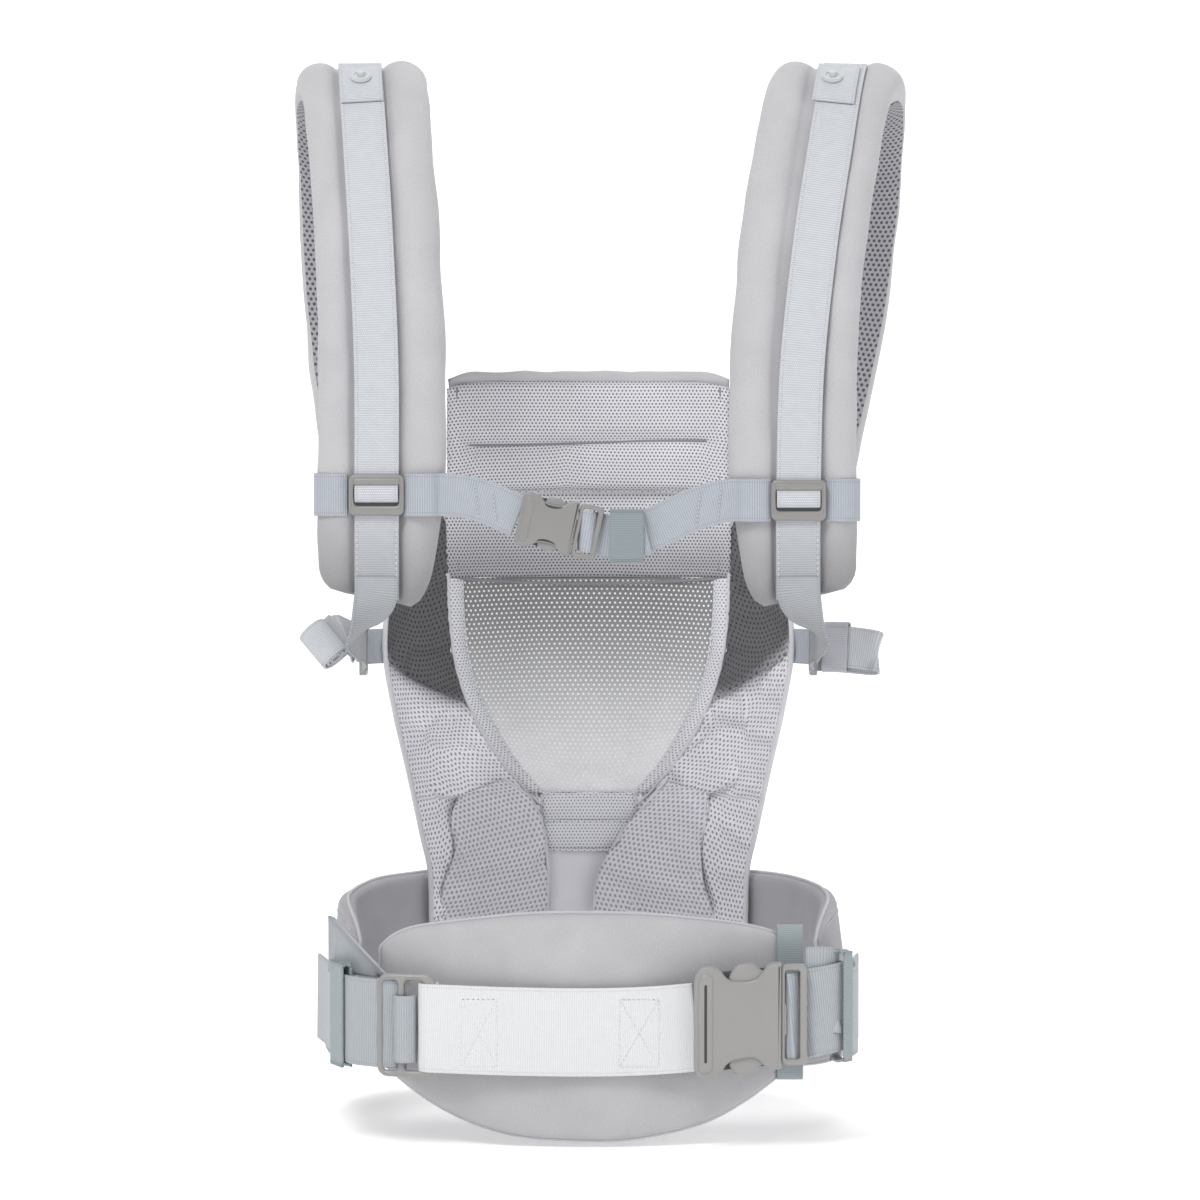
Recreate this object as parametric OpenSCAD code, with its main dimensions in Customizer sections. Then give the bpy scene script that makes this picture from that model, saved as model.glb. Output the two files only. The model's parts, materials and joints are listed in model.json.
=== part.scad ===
// Soft baby carrier, closed as it is worn.
// The wearer's back is towards -Y and the baby's panel is towards +Y. All sizes are in millimetres.
// The origin is the middle of the waist loop, level with the middle of the waist webbing.

/* [Waist belt] */
// Half the width of the belt, to the middle of its thickness
belt_half_w = 151; // [145:1:156]
// Half the depth of the belt, to the middle of its thickness
belt_half_d = 124; // [122:1:130]
// Thickness of the padded belt
belt_thick = 14; // [10:1:16]
// Height of the belt's top edge above the webbing's middle
belt_top = 65; // [60:1:66]
// Depth of the belt's bottom edge below the webbing's middle
belt_drop = 55; // [45:1:60]
// Angle from the middle of the front to each end of the belt
belt_reach = 114; // [108:1:116]

/* [Lumbar pad] */
// Half the width of the lumbar pad
lumbar_half_w = 118; // [110:1:120]
// Thickness of the lumbar pad
lumbar_thick = 14; // [10:1:16]
// Height of its top edge in the middle
lumbar_top = 64; // [58:1:68]
// Depth of its bottom edge in the middle
lumbar_drop = 65; // [58:1:68]

/* [Shoulder straps] */
// Distance from the middle to each strap, where the chest strap rides
strap_out = 118; // [112:1:124]
// Width of a shoulder pad
pad_wide = 74; // [66:1:78]
// Thickness of a shoulder pad
pad_thick = 20; // [16:1:20]
// Width of the rail, chest and adjuster webbing
webbing_wide = 25; // [24:0.5:25]
// Thickness of all webbing
webbing_thick = 1.6; // [1.2:0.1:1.8]

/* [Buckles] */
// Width of the waist webbing
waist_webbing_wide = 50; // [48:1:51]
// Height of the waist buckle
waist_buckle_tall = 66; // [64:1:68]
// Height of the chest buckle
chest_buckle_tall = 33; // [32:1:35]
// Tilt of the chest buckle, its plug end down
chest_tilt = 12; // [8:1:14]

/* [Panel] */
// Thickness of a mesh panel
mesh_thick = 2.4; // [1.6:0.2:3]
// Half the width of the head support
head_half_w = 83; // [78:1:84]
// Height of the head support's folding seam
fold_z = 298; // [296:1:300]
// Height of the head support's top edge
head_top = 371; // [362:1:374]

/* [Hidden] */
$fn = 32;

FABRIC = "#bfbdbf";
MESH = "#c9c8cd";
WEBBING = "#c3cad0";
ELASTIC = "#a8afb4";
WHITE = "#eef0f2";
PLASTIC = "#b2b0ad";
FOAM = "#e4e2d8";
CLEAR = "#d7d9dc";

// Gap left between soft layers
gap = 0.4;
// Middle of the shoulder pads at the wearer's back
near_y = -124;

// ---- vectors, curves and swept solids ----

function unit(v) = v / norm(v);
function tangent(p, i) = unit(p[min(i + 1, len(p) - 1)] - p[max(i - 1, 0)]);
// w turned square to t
function across(w, t) = unit(w - t * (w * t));
// A cross-section drawn at c: s[0] runs along w, s[1] runs outwards
function ring(c, t, w, shape) =
    let (a = across(w, t), b = cross(t, a)) [for (s = shape) c + a * s[0] - b * s[1]];
function hermite(a, b, c, d, u) =
    0.5 * (2 * b + (c - a) * u + (2 * a - 5 * b + 4 * c - d) * u * u + (3 * b - a - 3 * c + d) * u * u * u);
// A smooth curve through the points p, with n steps between each two
function smooth(p, n) = let (last = len(p) - 1) [
    for (i = [0 : last - 1], k = [0 : n - 1])
        hermite(p[max(i - 1, 0)], p[i], p[i + 1], p[min(i + 2, last)], k / n),
    p[last]
];
function box_shape(wide, thick) = [
    [-wide / 2, -thick / 2], [wide / 2, -thick / 2], [wide / 2, thick / 2], [-wide / 2, thick / 2]
];
// A sleeve round a strap, open by a narrow slit at the back
function sleeve_shape(wide, thick, wall) = let (
    x0 = wide / 2 + gap, x1 = x0 + wall, y0 = thick / 2 + gap, y1 = y0 + wall, slit = 1
) [
    [-slit, -y1], [-x1, -y1], [-x1, y1], [x1, y1], [x1, -y1], [slit, -y1],
    [slit, -y0], [x0, -y0], [x0, y0], [-x0, y0], [-x0, -y0], [-slit, -y0]
];

module loft(rings) {
    n = len(rings[0]);
    m = len(rings);
    sides = [
        for (i = [0 : m - 2], j = [0 : n - 1], half = [0, 1])
            let (k = (j + 1) % n, a = i * n)
            half == 0 ? [a + j, a + k, a + n + k] : [a + j, a + n + k, a + n + j]
    ];
    // Each end is closed by a strip between the outline's first half and its second
    ends = [
        for (e = [0, (m - 1) * n], j = [0 : n / 2 - 2], half = [0, 1])
            let (t = half == 0 ? [j, j + 1, n - 2 - j] : [j, n - 2 - j, n - 1 - j])
            e == 0 ? [t[2], t[1], t[0]] : [e + t[0], e + t[1], e + t[2]]
    ];
    polyhedron([for (r = rings, p = r) p], concat(sides, ends), convexity = 6);
}

// A flat strap along p, with its width along w
module strap(p, w, wide, thick = webbing_thick) {
    loft([for (i = [0 : len(p) - 1]) ring(p[i], tangent(p, i), w, box_shape(wide, thick))]);
}

// A flat strap whose width turns from w0 to w1 on the way
module turning_strap(p, w0, w1, wide, thick = webbing_thick) {
    last = len(p) - 1;
    loft([
        for (i = [0 : last])
            ring(p[i], tangent(p, i), w0 + (w1 - w0) * i / last, box_shape(wide, thick))
    ]);
}

module sleeve(p, w, wide, thick, wall = 1) {
    loft([for (i = [0 : len(p) - 1]) ring(p[i], tangent(p, i), w, sleeve_shape(wide, thick, wall))]);
}

// A plate in X and Z, thick along Y, with round corners
module plate(x, z, y, r) {
    rotate([90, 0, 0]) linear_extrude(y, center = true) rounded(x, z, r);
}

module rounded(x, y, r) {
    square([x - 2 * r, y], center = true);
    square([x, y - 2 * r], center = true);
    for (sx = [-1, 1], sy = [-1, 1]) translate([sx * (x / 2 - r), sy * (y / 2 - r)]) circle(r);
}

// ---- waist belt ----

belt_steps = 28;
function belt_angle(i) = -belt_reach + 2 * belt_reach * i / belt_steps;
// The belt keeps its height across the front and tapers along the wings
function wing(a) = max(0, (abs(a) - 40) / (belt_reach - 40));
function belt_low(a) = -belt_drop + 38 * pow(wing(a), 1.5);
function belt_high(a) = belt_top - 12 * pow(wing(a), 2);

// A layer of the belt between two depths from its middle, outwards
module belt_layer(inner, outer, trim) {
    loft([
        for (i = [0 : belt_steps]) let (
            a = belt_angle(i) * (1 - trim / 200),
            c = [belt_half_w * sin(a), belt_half_d * cos(a), 0],
            n = unit([sin(a) / belt_half_w, cos(a) / belt_half_d, 0]),
            lo = belt_low(a) + trim,
            hi = belt_high(a) - trim
        ) [
            c + n * inner + [0, 0, lo], c + n * outer + [0, 0, lo + 1],
            c + n * outer + [0, 0, hi - 1], c + n * inner + [0, 0, hi]
        ]
    ]);
}

module belt_outer_cover() {
    color(FABRIC) belt_layer(belt_thick / 2 - 2, belt_thick / 2, 0);
}

module belt_inner_cover() {
    color(FABRIC) belt_layer(-belt_thick / 2, -belt_thick / 2 + 2, 0);
}

module belt_foam() {
    color(FOAM) belt_layer(-belt_thick / 2 + 2 + gap, belt_thick / 2 - 2 - gap, 3);
}

// ---- panel ----

// Depth of the panel's middle, and of its side edges, at height z
function middle_y(z) = lookup(z, [
    [28, 111], [68, 112], [110, 118], [150, 121], [200, 120], [244, 116], [298, 111], [371, 106]
]);
function edge_y(z) = lookup(z, [
    [28, 77], [68, 76], [110, 70], [150, 60], [203, 50], [258, 66], [298, 76], [371, 74]
]);
// Half the width of the whole panel, and of the mesh window in its middle
function panel_half(z) = lookup(z, [
    [28, 96], [66, 97], [90, 102], [130, 110], [168, 118], [203, 123], [235, 121], [258, 116]
]);
function window_half(z) = lookup(z, [
    [110, 28], [120, 36], [132, 46], [145, 54], [170, 67], [200, 75], [244, 77]
]);
function panel_y(x, z) = middle_y(z) - (middle_y(z) - edge_y(z)) * pow(x / panel_half(z), 2);

border_wide = 8;
seam = 0.5;

// A row of the panel at height z from x0 to x1, as a thin closed outline
function panel_row(x0, x1, z, thick, n) = concat(
    [for (i = [0 : n]) let (x = x0 + (x1 - x0) * i / n) [x, panel_y(x, z) + thick / 2, z]],
    [for (i = [n : -1 : 0]) let (x = x0 + (x1 - x0) * i / n) [x, panel_y(x, z) - thick / 2, z]]
);

function span(z0, z1, n) = [for (i = [0 : n]) z0 + (z1 - z0) * i / n];

module centre_mesh() {
    color(MESH) loft([
        for (z = span(111, 244, 12)) panel_row(-window_half(z), window_half(z), z, mesh_thick, 10)
    ]);
}

module centre_mesh_border() {
    color(FABRIC) for (side = [-1, 1]) loft([
        for (z = span(111, 244, 12))
            let (x0 = window_half(z) + seam, x1 = min(x0 + border_wide, panel_half(z)))
            side > 0 ? panel_row(x0, x1, z, mesh_thick, 2) : panel_row(-x1, -x0, z, mesh_thick, 2)
    ]);
}

module upper_panel() {
    color(MESH) loft([
        for (z = span(244 + seam, fold_z - 1.5, 6))
            panel_row(-head_half_w, head_half_w, z, mesh_thick, 10)
    ]);
}

// Inner edge of a side panel: beside the bands, then beside the window's border
function side_inner(z) =
    z < 110 ? 29 + seam
    : z < 244 ? window_half(z) + border_wide + 3 * seam
    : head_half_w + 5 * seam;

module side_panel(side) {
    color(MESH) loft([
        for (z = concat(span(30, 108, 6), span(112, 243, 11), span(245, 258, 1)))
            side > 0 ? panel_row(side_inner(z), panel_half(z), z, mesh_thick, 6)
                     : panel_row(-panel_half(z), -side_inner(z), z, mesh_thick, 6)
    ]);
}

module side_panel_left() { side_panel(-1); }
module side_panel_right() { side_panel(1); }

module lower_mesh_bands() {
    color(MESH) for (z = [[76.5, 93.5], [94, 110]])
        loft([for (h = span(z[0], z[1], 2)) panel_row(-28.5, 28.5, h, mesh_thick, 4)]);
}

module base_patch() {
    color(FABRIC) loft([for (h = span(32, 76, 3)) panel_row(-28.5, 28.5, h, mesh_thick, 4)]);
}

// ---- head support ----

// Half the head support's thickness
head_depth = 4.5;
function head_row(z, inner, outer, trim) = let (n = 8, w = head_half_w - trim) concat(
    [for (i = [0 : n]) let (x = -w + 2 * w * i / n) [x, panel_y(x, z) + outer, z]],
    [for (i = [n : -1 : 0]) let (x = -w + 2 * w * i / n) [x, panel_y(x, z) + inner, z]]
);

module head_layer(inner, outer, z0, z1, trim) {
    loft([for (z = span(z0, z1, 4)) head_row(z, inner, outer, trim)]);
}

module head_support_inner() {
    color(MESH) head_layer(-head_depth, -head_depth + 1.8, fold_z + 1, head_top - 9.5, 0);
}

module head_support_outer() {
    color(FABRIC) head_layer(head_depth - 1.8, head_depth, fold_z + 1, head_top - 9.5, 0);
}

module head_support_foam() {
    color(FOAM) head_layer(-head_depth + 2.1, head_depth - 2.1, fold_z + 3, head_top - 12, 3);
}

module head_support_binding() {
    color(FABRIC) head_layer(-head_depth + 0.5, head_depth - 0.5, head_top - 9, head_top, 0);
}

// ---- lumbar pad ----

function lumbar_y(x) = -128 + 26 * pow(x / lumbar_half_w, 2);
function lumbar_hi(x) = lumbar_top - 14 * pow(x / lumbar_half_w, 2);
function lumbar_lo(x) = -lumbar_drop + 42 * pow(abs(x) / lumbar_half_w, 2.6);

// A layer of the pad, where inner and outer are depths from its middle towards the outside
module lumbar_layer(inner, outer, trim) {
    steps = 18;
    loft([
        for (i = [0 : steps]) let (
            x = (lumbar_half_w - trim) * (2 * i / steps - 1),
            n = unit([52 * x / pow(lumbar_half_w, 2), -1, 0]),
            c = [x, lumbar_y(x), 0],
            lo = lumbar_lo(x) + trim,
            hi = lumbar_hi(x) - trim
        ) [
            c + n * inner + [0, 0, hi], c + n * outer + [0, 0, hi - 1.5],
            c + n * outer + [0, 0, lo + 1.5], c + n * inner + [0, 0, lo]
        ]
    ]);
}

module lumbar_cover() {
    color(FABRIC) lumbar_layer(lumbar_thick / 2 - 2, lumbar_thick / 2, 0);
}

module lumbar_lining() {
    color(MESH) lumbar_layer(-lumbar_thick / 2, -lumbar_thick / 2 + 2, 0);
}

module lumbar_foam() {
    color(FOAM) lumbar_layer(-lumbar_thick / 2 + 2 + gap, lumbar_thick / 2 - 2 - gap, 3);
}

// ---- waist webbing ----

up = [0, 0, 1];
waist_y = -137.6;

module waist_webbing() {
    route = [[-84, -136, 0], [-45, -137.2, -1], [0, waist_y, -1.5], [35, waist_y, -0.5], [58, -138.6, 1]];
    color(WHITE) strap(smooth(route, 4), up, waist_webbing_wide);
}

// Frame with three upright bars, which the webbing laces through
module waist_tri_glide() {
    glide_wide = 34;
    glide_thick = 4;
    slot_tall = waist_webbing_wide + 1;
    left_slot = 9;
    right_slot = 13;
    color(PLASTIC) translate([-102, -132.5, 1]) rotate([0, 0, -10]) difference() {
        plate(glide_wide, waist_buckle_tall - 8, glide_thick, 5);
        translate([-8, 0, 0]) plate(left_slot, slot_tall, 3 * glide_thick, 1.5);
        translate([7, 0, 0]) plate(right_slot, slot_tall, 3 * glide_thick, 1.5);
    }
}

module waist_webbing_left() {
    route = [
        [-121.5, -129, 2], [-133, -119, 2], [-142, -100, 2],
        [-147.5, -78, 3], [-151.5, -57, 4], [-157.5, -36, 5]
    ];
    color(WEBBING) strap(smooth(route, 4), up, waist_webbing_wide);
}

module waist_keeper_left() {
    route = [[-139.2, -108, 2], [-142, -100, 2], [-143.8, -92, 2.3]];
    color(ELASTIC) sleeve(smooth(route, 2), up, waist_webbing_wide, webbing_thick + 1, 1.2);
}

// Loose corner of webbing that stands up beside the tri-glide
module waist_flap() {
    color(WEBBING) translate([-138, -112, 0]) rotate([90, 0, -11]) linear_extrude(webbing_thick)
        polygon([[0, 57], [4, 57], [15, 43], [29, 34], [29, 29], [0, 29]]);
}

// ---- side-release buckles ----
// Drawn with the mouth of the housing at the origin, facing +X, and the prongs above and below.

wall = 4;
skin = 2.4;
webbing_slot = 4.4;

// long, tall and thick are the housing's size; the windows let the prongs be pressed
module buckle_housing(long, tall, thick, slot) {
    inner = tall / 2 - wall;
    hollow = thick - 2 * skin;
    groove = 2.6;
    difference() {
        union() {
            translate([-long / 2, 0, 0]) plate(long, tall, thick, tall * 0.09);
            translate([-long - slot / 2 - 1, 0, 0]) plate(slot + 10, tall - 2, thick * 0.7, 3);
        }
        translate([-long - slot / 2 - 1, 0, 0]) cube([slot, thick * 3, tall - 2 * wall], center = true);
        translate([-long + wall, -hollow / 2, -inner]) cube([long, hollow, 2 * inner]);
        for (side = [-1, 1]) {
            translate([-long * 0.52, 0, side * (tall / 2 - wall / 2)])
                cube([long * 0.42, thick + 1, wall + 2], center = true);
            translate([-long + wall + 0.5, -hollow / 2, side > 0 ? inner - 1 : -inner + 1 - groove])
                cube([long, hollow, groove]);
        }
    }
}

// Shoulder, guide blade and the two-bar frame that the webbing laces through
module buckle_plug(long, tall, thick, frame) {
    shoulder = 2;
    bar = 2.2;
    outer_bar = 2.6;
    inner = thick - 2 * skin - 0.8;
    slot = (frame - shoulder - bar - outer_bar) / 2;
    difference() {
        union() {
            translate([0.4 + frame / 2, 0, 0]) plate(frame, tall - 4, thick * 0.6, 2);
            translate([0.4 + shoulder / 2, 0, 0]) cube([shoulder, thick - 1, tall - 6], center = true);
            translate([-long * 0.35, 0, 0]) cube([long * 0.7 + 2, inner, tall * 0.12], center = true);
            translate([-2.5, 0, 0]) cube([6.5, inner, tall * 0.3], center = true);
        }
        for (k = [0, 1])
            translate([0.4 + shoulder + slot / 2 + k * (slot + bar), 0, 0])
                cube([slot, thick * 3, tall - 4 - 2 * 3.6], center = true);
    }
}

// One prong, with its root at the origin and its tip towards -X; the outside faces +Z
module buckle_prong(long, arm, thick) {
    depth = thick - 2 * skin - 0.8;
    root = [for (a = [90 : -15 : -90]) [cos(a), sin(a)] * arm / 2];
    tip = [
        [-long * 0.66, -arm / 2], [-long * 0.7, 0], [-long * 0.68, arm / 2 + 1],
        [-long * 0.44, arm / 2 + 1], [-long * 0.36, arm / 2]
    ];
    rotate([90, 0, 0]) linear_extrude(depth, center = true) polygon(concat(root, tip));
}

waist_long = 43;
waist_buckle_thick = 13;
waist_mouth = [109.5, -144.5, 3];
waist_arm = 5;
// Height of each prong's pivot from the buckle's middle
function prong_z(tall, arm) = tall / 2 - wall - 0.4 - arm / 2;

module waist_buckle_housing() {
    color(PLASTIC) translate(waist_mouth)
        buckle_housing(waist_long, waist_buckle_tall, waist_buckle_thick, webbing_slot);
}

module waist_buckle_plug() {
    color(PLASTIC) translate(waist_mouth)
        buckle_plug(waist_long, waist_buckle_tall, waist_buckle_thick, 13);
}

module waist_prong_upper() {
    color(PLASTIC) translate(waist_mouth + [-3, 0, prong_z(waist_buckle_tall, waist_arm)])
        buckle_prong(waist_long, waist_arm, waist_buckle_thick);
}

module waist_prong_lower() {
    color(PLASTIC) translate(waist_mouth - [3, 0, prong_z(waist_buckle_tall, waist_arm)])
        mirror(up) buckle_prong(waist_long, waist_arm, waist_buckle_thick);
}

// Folded tail of the right webbing, lying in layers beside the plug
layer_pitch = 2.6;
layer_z = [2, 14, 18, 8];

module waist_webbing_tail() {
    color(WEBBING) for (k = [0 : 3])
        translate([135.5 - k / 2, -141 + layer_pitch * k, layer_z[k]])
            cube([20 - k, webbing_thick, waist_webbing_wide], center = true);
}

module waist_keeper_right() {
    deep = 12;
    tall = 73.2;
    thick = 1.3;
    color(ELASTIC) translate([142.5, -137.1, 11]) difference() {
        cube([5, deep + 2 * thick, tall + 2 * thick], center = true);
        cube([7, deep, tall], center = true);
    }
}

module waist_webbing_right() {
    route = [
        [149, -122, 4], [152.5, -108, 4], [154, -90, 4],
        [154.5, -72, 4], [154.5, -56, 5], [157.5, -36, 5]
    ];
    color(WEBBING) strap(smooth(route, 4), up, waist_webbing_wide);
}

module waist_safety_loop() {
    route = [[115, -110.5, -42], [115, -122, -40], [115, -130, -26], [115, -132, 4], [115, -130, 36],
        [115, -122, 50], [115, -110.5, 56]];
    color(ELASTIC) strap(smooth(route, 3), [1, 0, 0], 15);
}

// ---- shoulder straps ----
// Each route runs from the pad's lower end up the back, over the shoulder and down to the panel's side.

strap_y = [near_y, near_y, near_y, -120, -105, -78, -42, -5, 29, 57, 78, 90, 95, 93];
strap_z = [241, 300, 372, 440, 490, 522, 534, 527, 503, 464, 410, 352, 302, 268];
// How far each point stands outside strap_out, on the left and on the right
lean_left = [0, 0, 0, 3, 7, 11, 14, 16, 17, 17, 16, 12, 6, -2];
lean_right = [0, 0, 0, 6, 14, 21, 27, 30, 31, 30, 25, 16, 7, -2];
// How far the pad's width has turned about Z
strap_turn = [0, 0, 0, 0, 0, 0, 0, 0, 0, 4, 10, 20, 32, 42];
strap_steps = 3;

function strap_route(side) = let (lean = side < 0 ? lean_left : lean_right) smooth([
    for (i = [0 : len(strap_y) - 1]) [side * (strap_out + lean[i]), strap_y[i], strap_z[i]]
], strap_steps);
turns = smooth([for (a = strap_turn) [a, 0, 0]], strap_steps);
// Width direction at step i: always towards +X
function strap_w(side, i) = [cos(turns[i][0]), side * -sin(turns[i][0]), 0];

// One layer of a strap, drawn on the left; the right strap is a mirror image with its own lean
module left_layer(p, shape, first, final) {
    loft([for (i = [first : final]) ring(p[i], tangent(p, i), strap_w(-1, i), shape)]);
}

module strap_layer(side, shape, first = 0, final = 39) {
    p = [for (c = strap_route(side)) [-abs(c[0]), c[1], c[2]]];
    if (side < 0) left_layer(p, shape, first, final);
    else mirror([1, 0, 0]) left_layer(p, shape, first, final);
}

half_w = pad_wide / 2;
half_t = pad_thick / 2;
shell = 2;

// The outer cover wraps over the foam's edges, and the lining closes it on the body side
cover_shape = [
    [-half_w, -half_t + 4], [-half_w, half_t - 4], [-half_w + 5, half_t], [half_w - 5, half_t],
    [half_w, half_t - 4], [half_w, -half_t + 4],
    [half_w - shell, -half_t + 4], [half_w - shell, half_t - 5], [half_w - 6, half_t - shell],
    [-half_w + 6, half_t - shell], [-half_w + shell, half_t - 5], [-half_w + shell, -half_t + 4]
];
foam_shape = [
    [-half_w + 3, -half_t + 5.2], [half_w - 3, -half_t + 5.2], [half_w - 3, half_t - 6],
    [half_w - 7, half_t - shell - 0.8], [-half_w + 7, half_t - shell - 0.8], [-half_w + 3, half_t - 6]
];
lining_shape = [
    [-half_w + 4, -half_t], [half_w - 4, -half_t], [half_w, -half_t + 2.4], [half_w, -half_t + 3.5],
    [-half_w, -half_t + 3.5], [-half_w, -half_t + 2.4]
];

module strap_cover_left() { color(FABRIC) strap_layer(-1, cover_shape); }
module strap_foam_left() { color(FOAM) strap_layer(-1, foam_shape); }
module strap_lining_left() { color(MESH) strap_layer(-1, lining_shape); }
module strap_cover_right() { color(FABRIC) strap_layer(1, cover_shape); }
module strap_foam_right() { color(FOAM) strap_layer(1, foam_shape); }
module strap_lining_right() { color(MESH) strap_layer(1, lining_shape); }

// The rail stands off the pad by the thickness of the slider's back bar
rail_off = half_t + 4;
function rail_shape(wide, off, thick) = [for (s = box_shape(wide, thick)) s + [0, off]];
rail_end = 17;

module rail_webbing_left() {
    color(WEBBING) strap_layer(-1, rail_shape(webbing_wide, rail_off, webbing_thick), 0, rail_end);
}

module rail_webbing_right() {
    color(WEBBING) strap_layer(1, rail_shape(webbing_wide, rail_off, webbing_thick), 0, rail_end);
}

tab_step = 15;

module snap_tabs() {
    color(WEBBING) for (side = [-1, 1])
        strap_layer(side, rail_shape(webbing_wide - 2, rail_off + 2.2, 1.4), tab_step - 1, tab_step + 1);
}

stud_r = 2;
stud_long = 3;

// Places its children on a snap tab, with +Z straight out of the strap
module on_tab(side) {
    p = strap_route(side);
    t = tangent(p, tab_step);
    a = across(strap_w(side, tab_step), t);
    n = -cross(t, a);
    c = p[tab_step] + n * (rail_off + 3.2);
    multmatrix([
        [a[0], t[0], n[0], c[0]], [a[1], t[1], n[1], c[1]], [a[2], t[2], n[2], c[2]], [0, 0, 0, 1]
    ]) mirror([1, 0, 0]) children();
}

module snap_studs() {
    color(CLEAR) for (side = [-1, 1]) on_tab(side) {
        cylinder(r = 5.8, h = 1.2);
        difference() {
            cylinder(r = 5, h = 1.7);
            cylinder(r = 4, h = 3);
        }
        cylinder(r = stud_r, h = 1.2 + stud_long);
    }
}

// ---- chest strap ----

chest_z_left = 300;
chest_z_right = 297;
slider_wide = 31;
slider_tall = 23;

// Frame on the rail: a back bar, a slot for the rail, and a front with two windows
module chest_slider(side, z) {
    back = near_y - half_t - 0.5;
    color(PLASTIC) translate([side * strap_out, back - 3.6, z]) difference() {
        plate(slider_wide, slider_tall, 7.2, 2);
        translate([0, 0.1, 0]) cube([webbing_wide + 1, webbing_thick + 1, 40], center = true);
        for (s = [-1, 1]) translate([0, -3, s * 5.4]) cube([webbing_wide, 4, 7], center = true);
    }
}

module chest_slider_left() { chest_slider(-1, chest_z_left); }
module chest_slider_right() { chest_slider(1, chest_z_right); }

loop_clear = 1.2;
chest_webbing_wide = 24;

// Webbing right round the pad, open where the slider sits
module chest_loop(side, z) {
    wide = pad_wide + 2 * loop_clear;
    deep = pad_thick + 2 * loop_clear;
    color(WEBBING) translate([side * strap_out, near_y, z - chest_webbing_wide / 2])
        linear_extrude(chest_webbing_wide) difference() {
            rounded(wide + 2 * webbing_thick, deep + 2 * webbing_thick, 8);
            rounded(wide, deep, 6.4);
            translate([0, -deep / 2]) square([slider_wide + 1, 12], center = true);
        }
}

module chest_loop_left() { chest_loop(-1, chest_z_left); }
module chest_loop_right() { chest_loop(1, chest_z_right); }

module chest_webbing_left() {
    route = [[-77, -135, 299], [-67, -137, 297.5], [-56, -140, 295], [-48, -142, 292]];
    color(WEBBING) strap(smooth(route, 3), up, chest_webbing_wide);
}

// It lies behind the folded tail, so that the tail can pass in front of it
module chest_webbing_right() {
    route = [[77, -134, 296.5], [66, -135.5, 294], [50, -137, 287.5], [36, -138, 281.5]];
    color(WEBBING) strap(smooth(route, 3), up, chest_webbing_wide);
}

chest_long = 26;
chest_buckle_thick = 10;
chest_arm = 3;
chest_mouth = [-7, -144, 281];

module at_chest_mouth() {
    translate(chest_mouth) rotate([0, chest_tilt, 0]) children();
}

module chest_buckle_housing() {
    color(PLASTIC) at_chest_mouth()
        buckle_housing(chest_long, chest_buckle_tall, chest_buckle_thick, webbing_slot);
}

module chest_buckle_plug() {
    color(PLASTIC) at_chest_mouth()
        buckle_plug(chest_long, chest_buckle_tall, chest_buckle_thick, 12.5);
}

module chest_prong_upper() {
    color(PLASTIC) at_chest_mouth() translate([-3, 0, prong_z(chest_buckle_tall, chest_arm)])
        buckle_prong(chest_long, chest_arm, chest_buckle_thick);
}

module chest_prong_lower() {
    color(PLASTIC) at_chest_mouth() translate([-3, 0, -prong_z(chest_buckle_tall, chest_arm)])
        mirror(up) buckle_prong(chest_long, chest_arm, chest_buckle_thick);
}

tail_route = [[8.5, -144.5, 277.5], [20, -144.5, 276.5], [34, -144.5, 279]];

module chest_webbing_tail() {
    color(WEBBING) strap(smooth(tail_route, 3), up, chest_webbing_wide);
}

module chest_keeper() {
    route = [[11.5, -144.5, 277.5], [30.5, -144.5, 277.5]];
    color(ELASTIC) sleeve(route, up, chest_webbing_wide + 3, webbing_thick + 1);
}

// ---- side adjusters ----

lock_z = 205;
lock_x = 134;
lock_y = 24;

module adjuster_webbing_left() {
    route = [
        [-118, -138, 236.5], [-121, -135, 228.5], [-127, -116, 223], [-133, -84, 217],
        [-136, -42, 211], [-136.5, -6, 207], [-135, 10, lock_z]
    ];
    color(WEBBING) turning_strap(smooth(route, 9), [1, 0, 0], [0, 0, 1], webbing_wide - 1);
}

module adjuster_webbing_right() { mirror([1, 0, 0]) adjuster_webbing_left(); }

// Ladder lock: a frame with two slots; the bar nearer the panel is its pivot
module ladder_lock(side) {
    color(PLASTIC) translate([side * lock_x, lock_y, lock_z]) rotate([0, 0, 90]) difference() {
        plate(24, webbing_wide + 6, 4, 3);
        for (s = [-1, 1]) translate([s * 5.4, 0, 0]) cube([6, 12, webbing_wide + 1], center = true);
    }
}

module ladder_lock_left() { ladder_lock(-1); }
module ladder_lock_right() { ladder_lock(1); }

// Rolled tail of the left adjuster webbing, flattened by its elastic
module webbing_roll_left() {
    color(WEBBING) translate([-157, 14, 203]) rotate([0, -40, 0])
        linear_extrude(webbing_wide, center = true) rounded(29, 13, 6.4);
}

// Folded tail of the right adjuster webbing
module webbing_fold_right() {
    color(WEBBING) translate([155, 12, lock_z]) rotate([0, -4, -8])
        linear_extrude(webbing_wide, center = true) rounded(34, 7, 3.4);
}

module anchor_tab(side) {
    route = [[side * 124.5, 52, lock_z], [side * 131, 47, lock_z], [side * 134, 38.5, lock_z]];
    color(WEBBING) strap(smooth(route, 2), up, webbing_wide - 4);
}

module anchor_tab_left() { anchor_tab(-1); }
module anchor_tab_right() { anchor_tab(1); }

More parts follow.
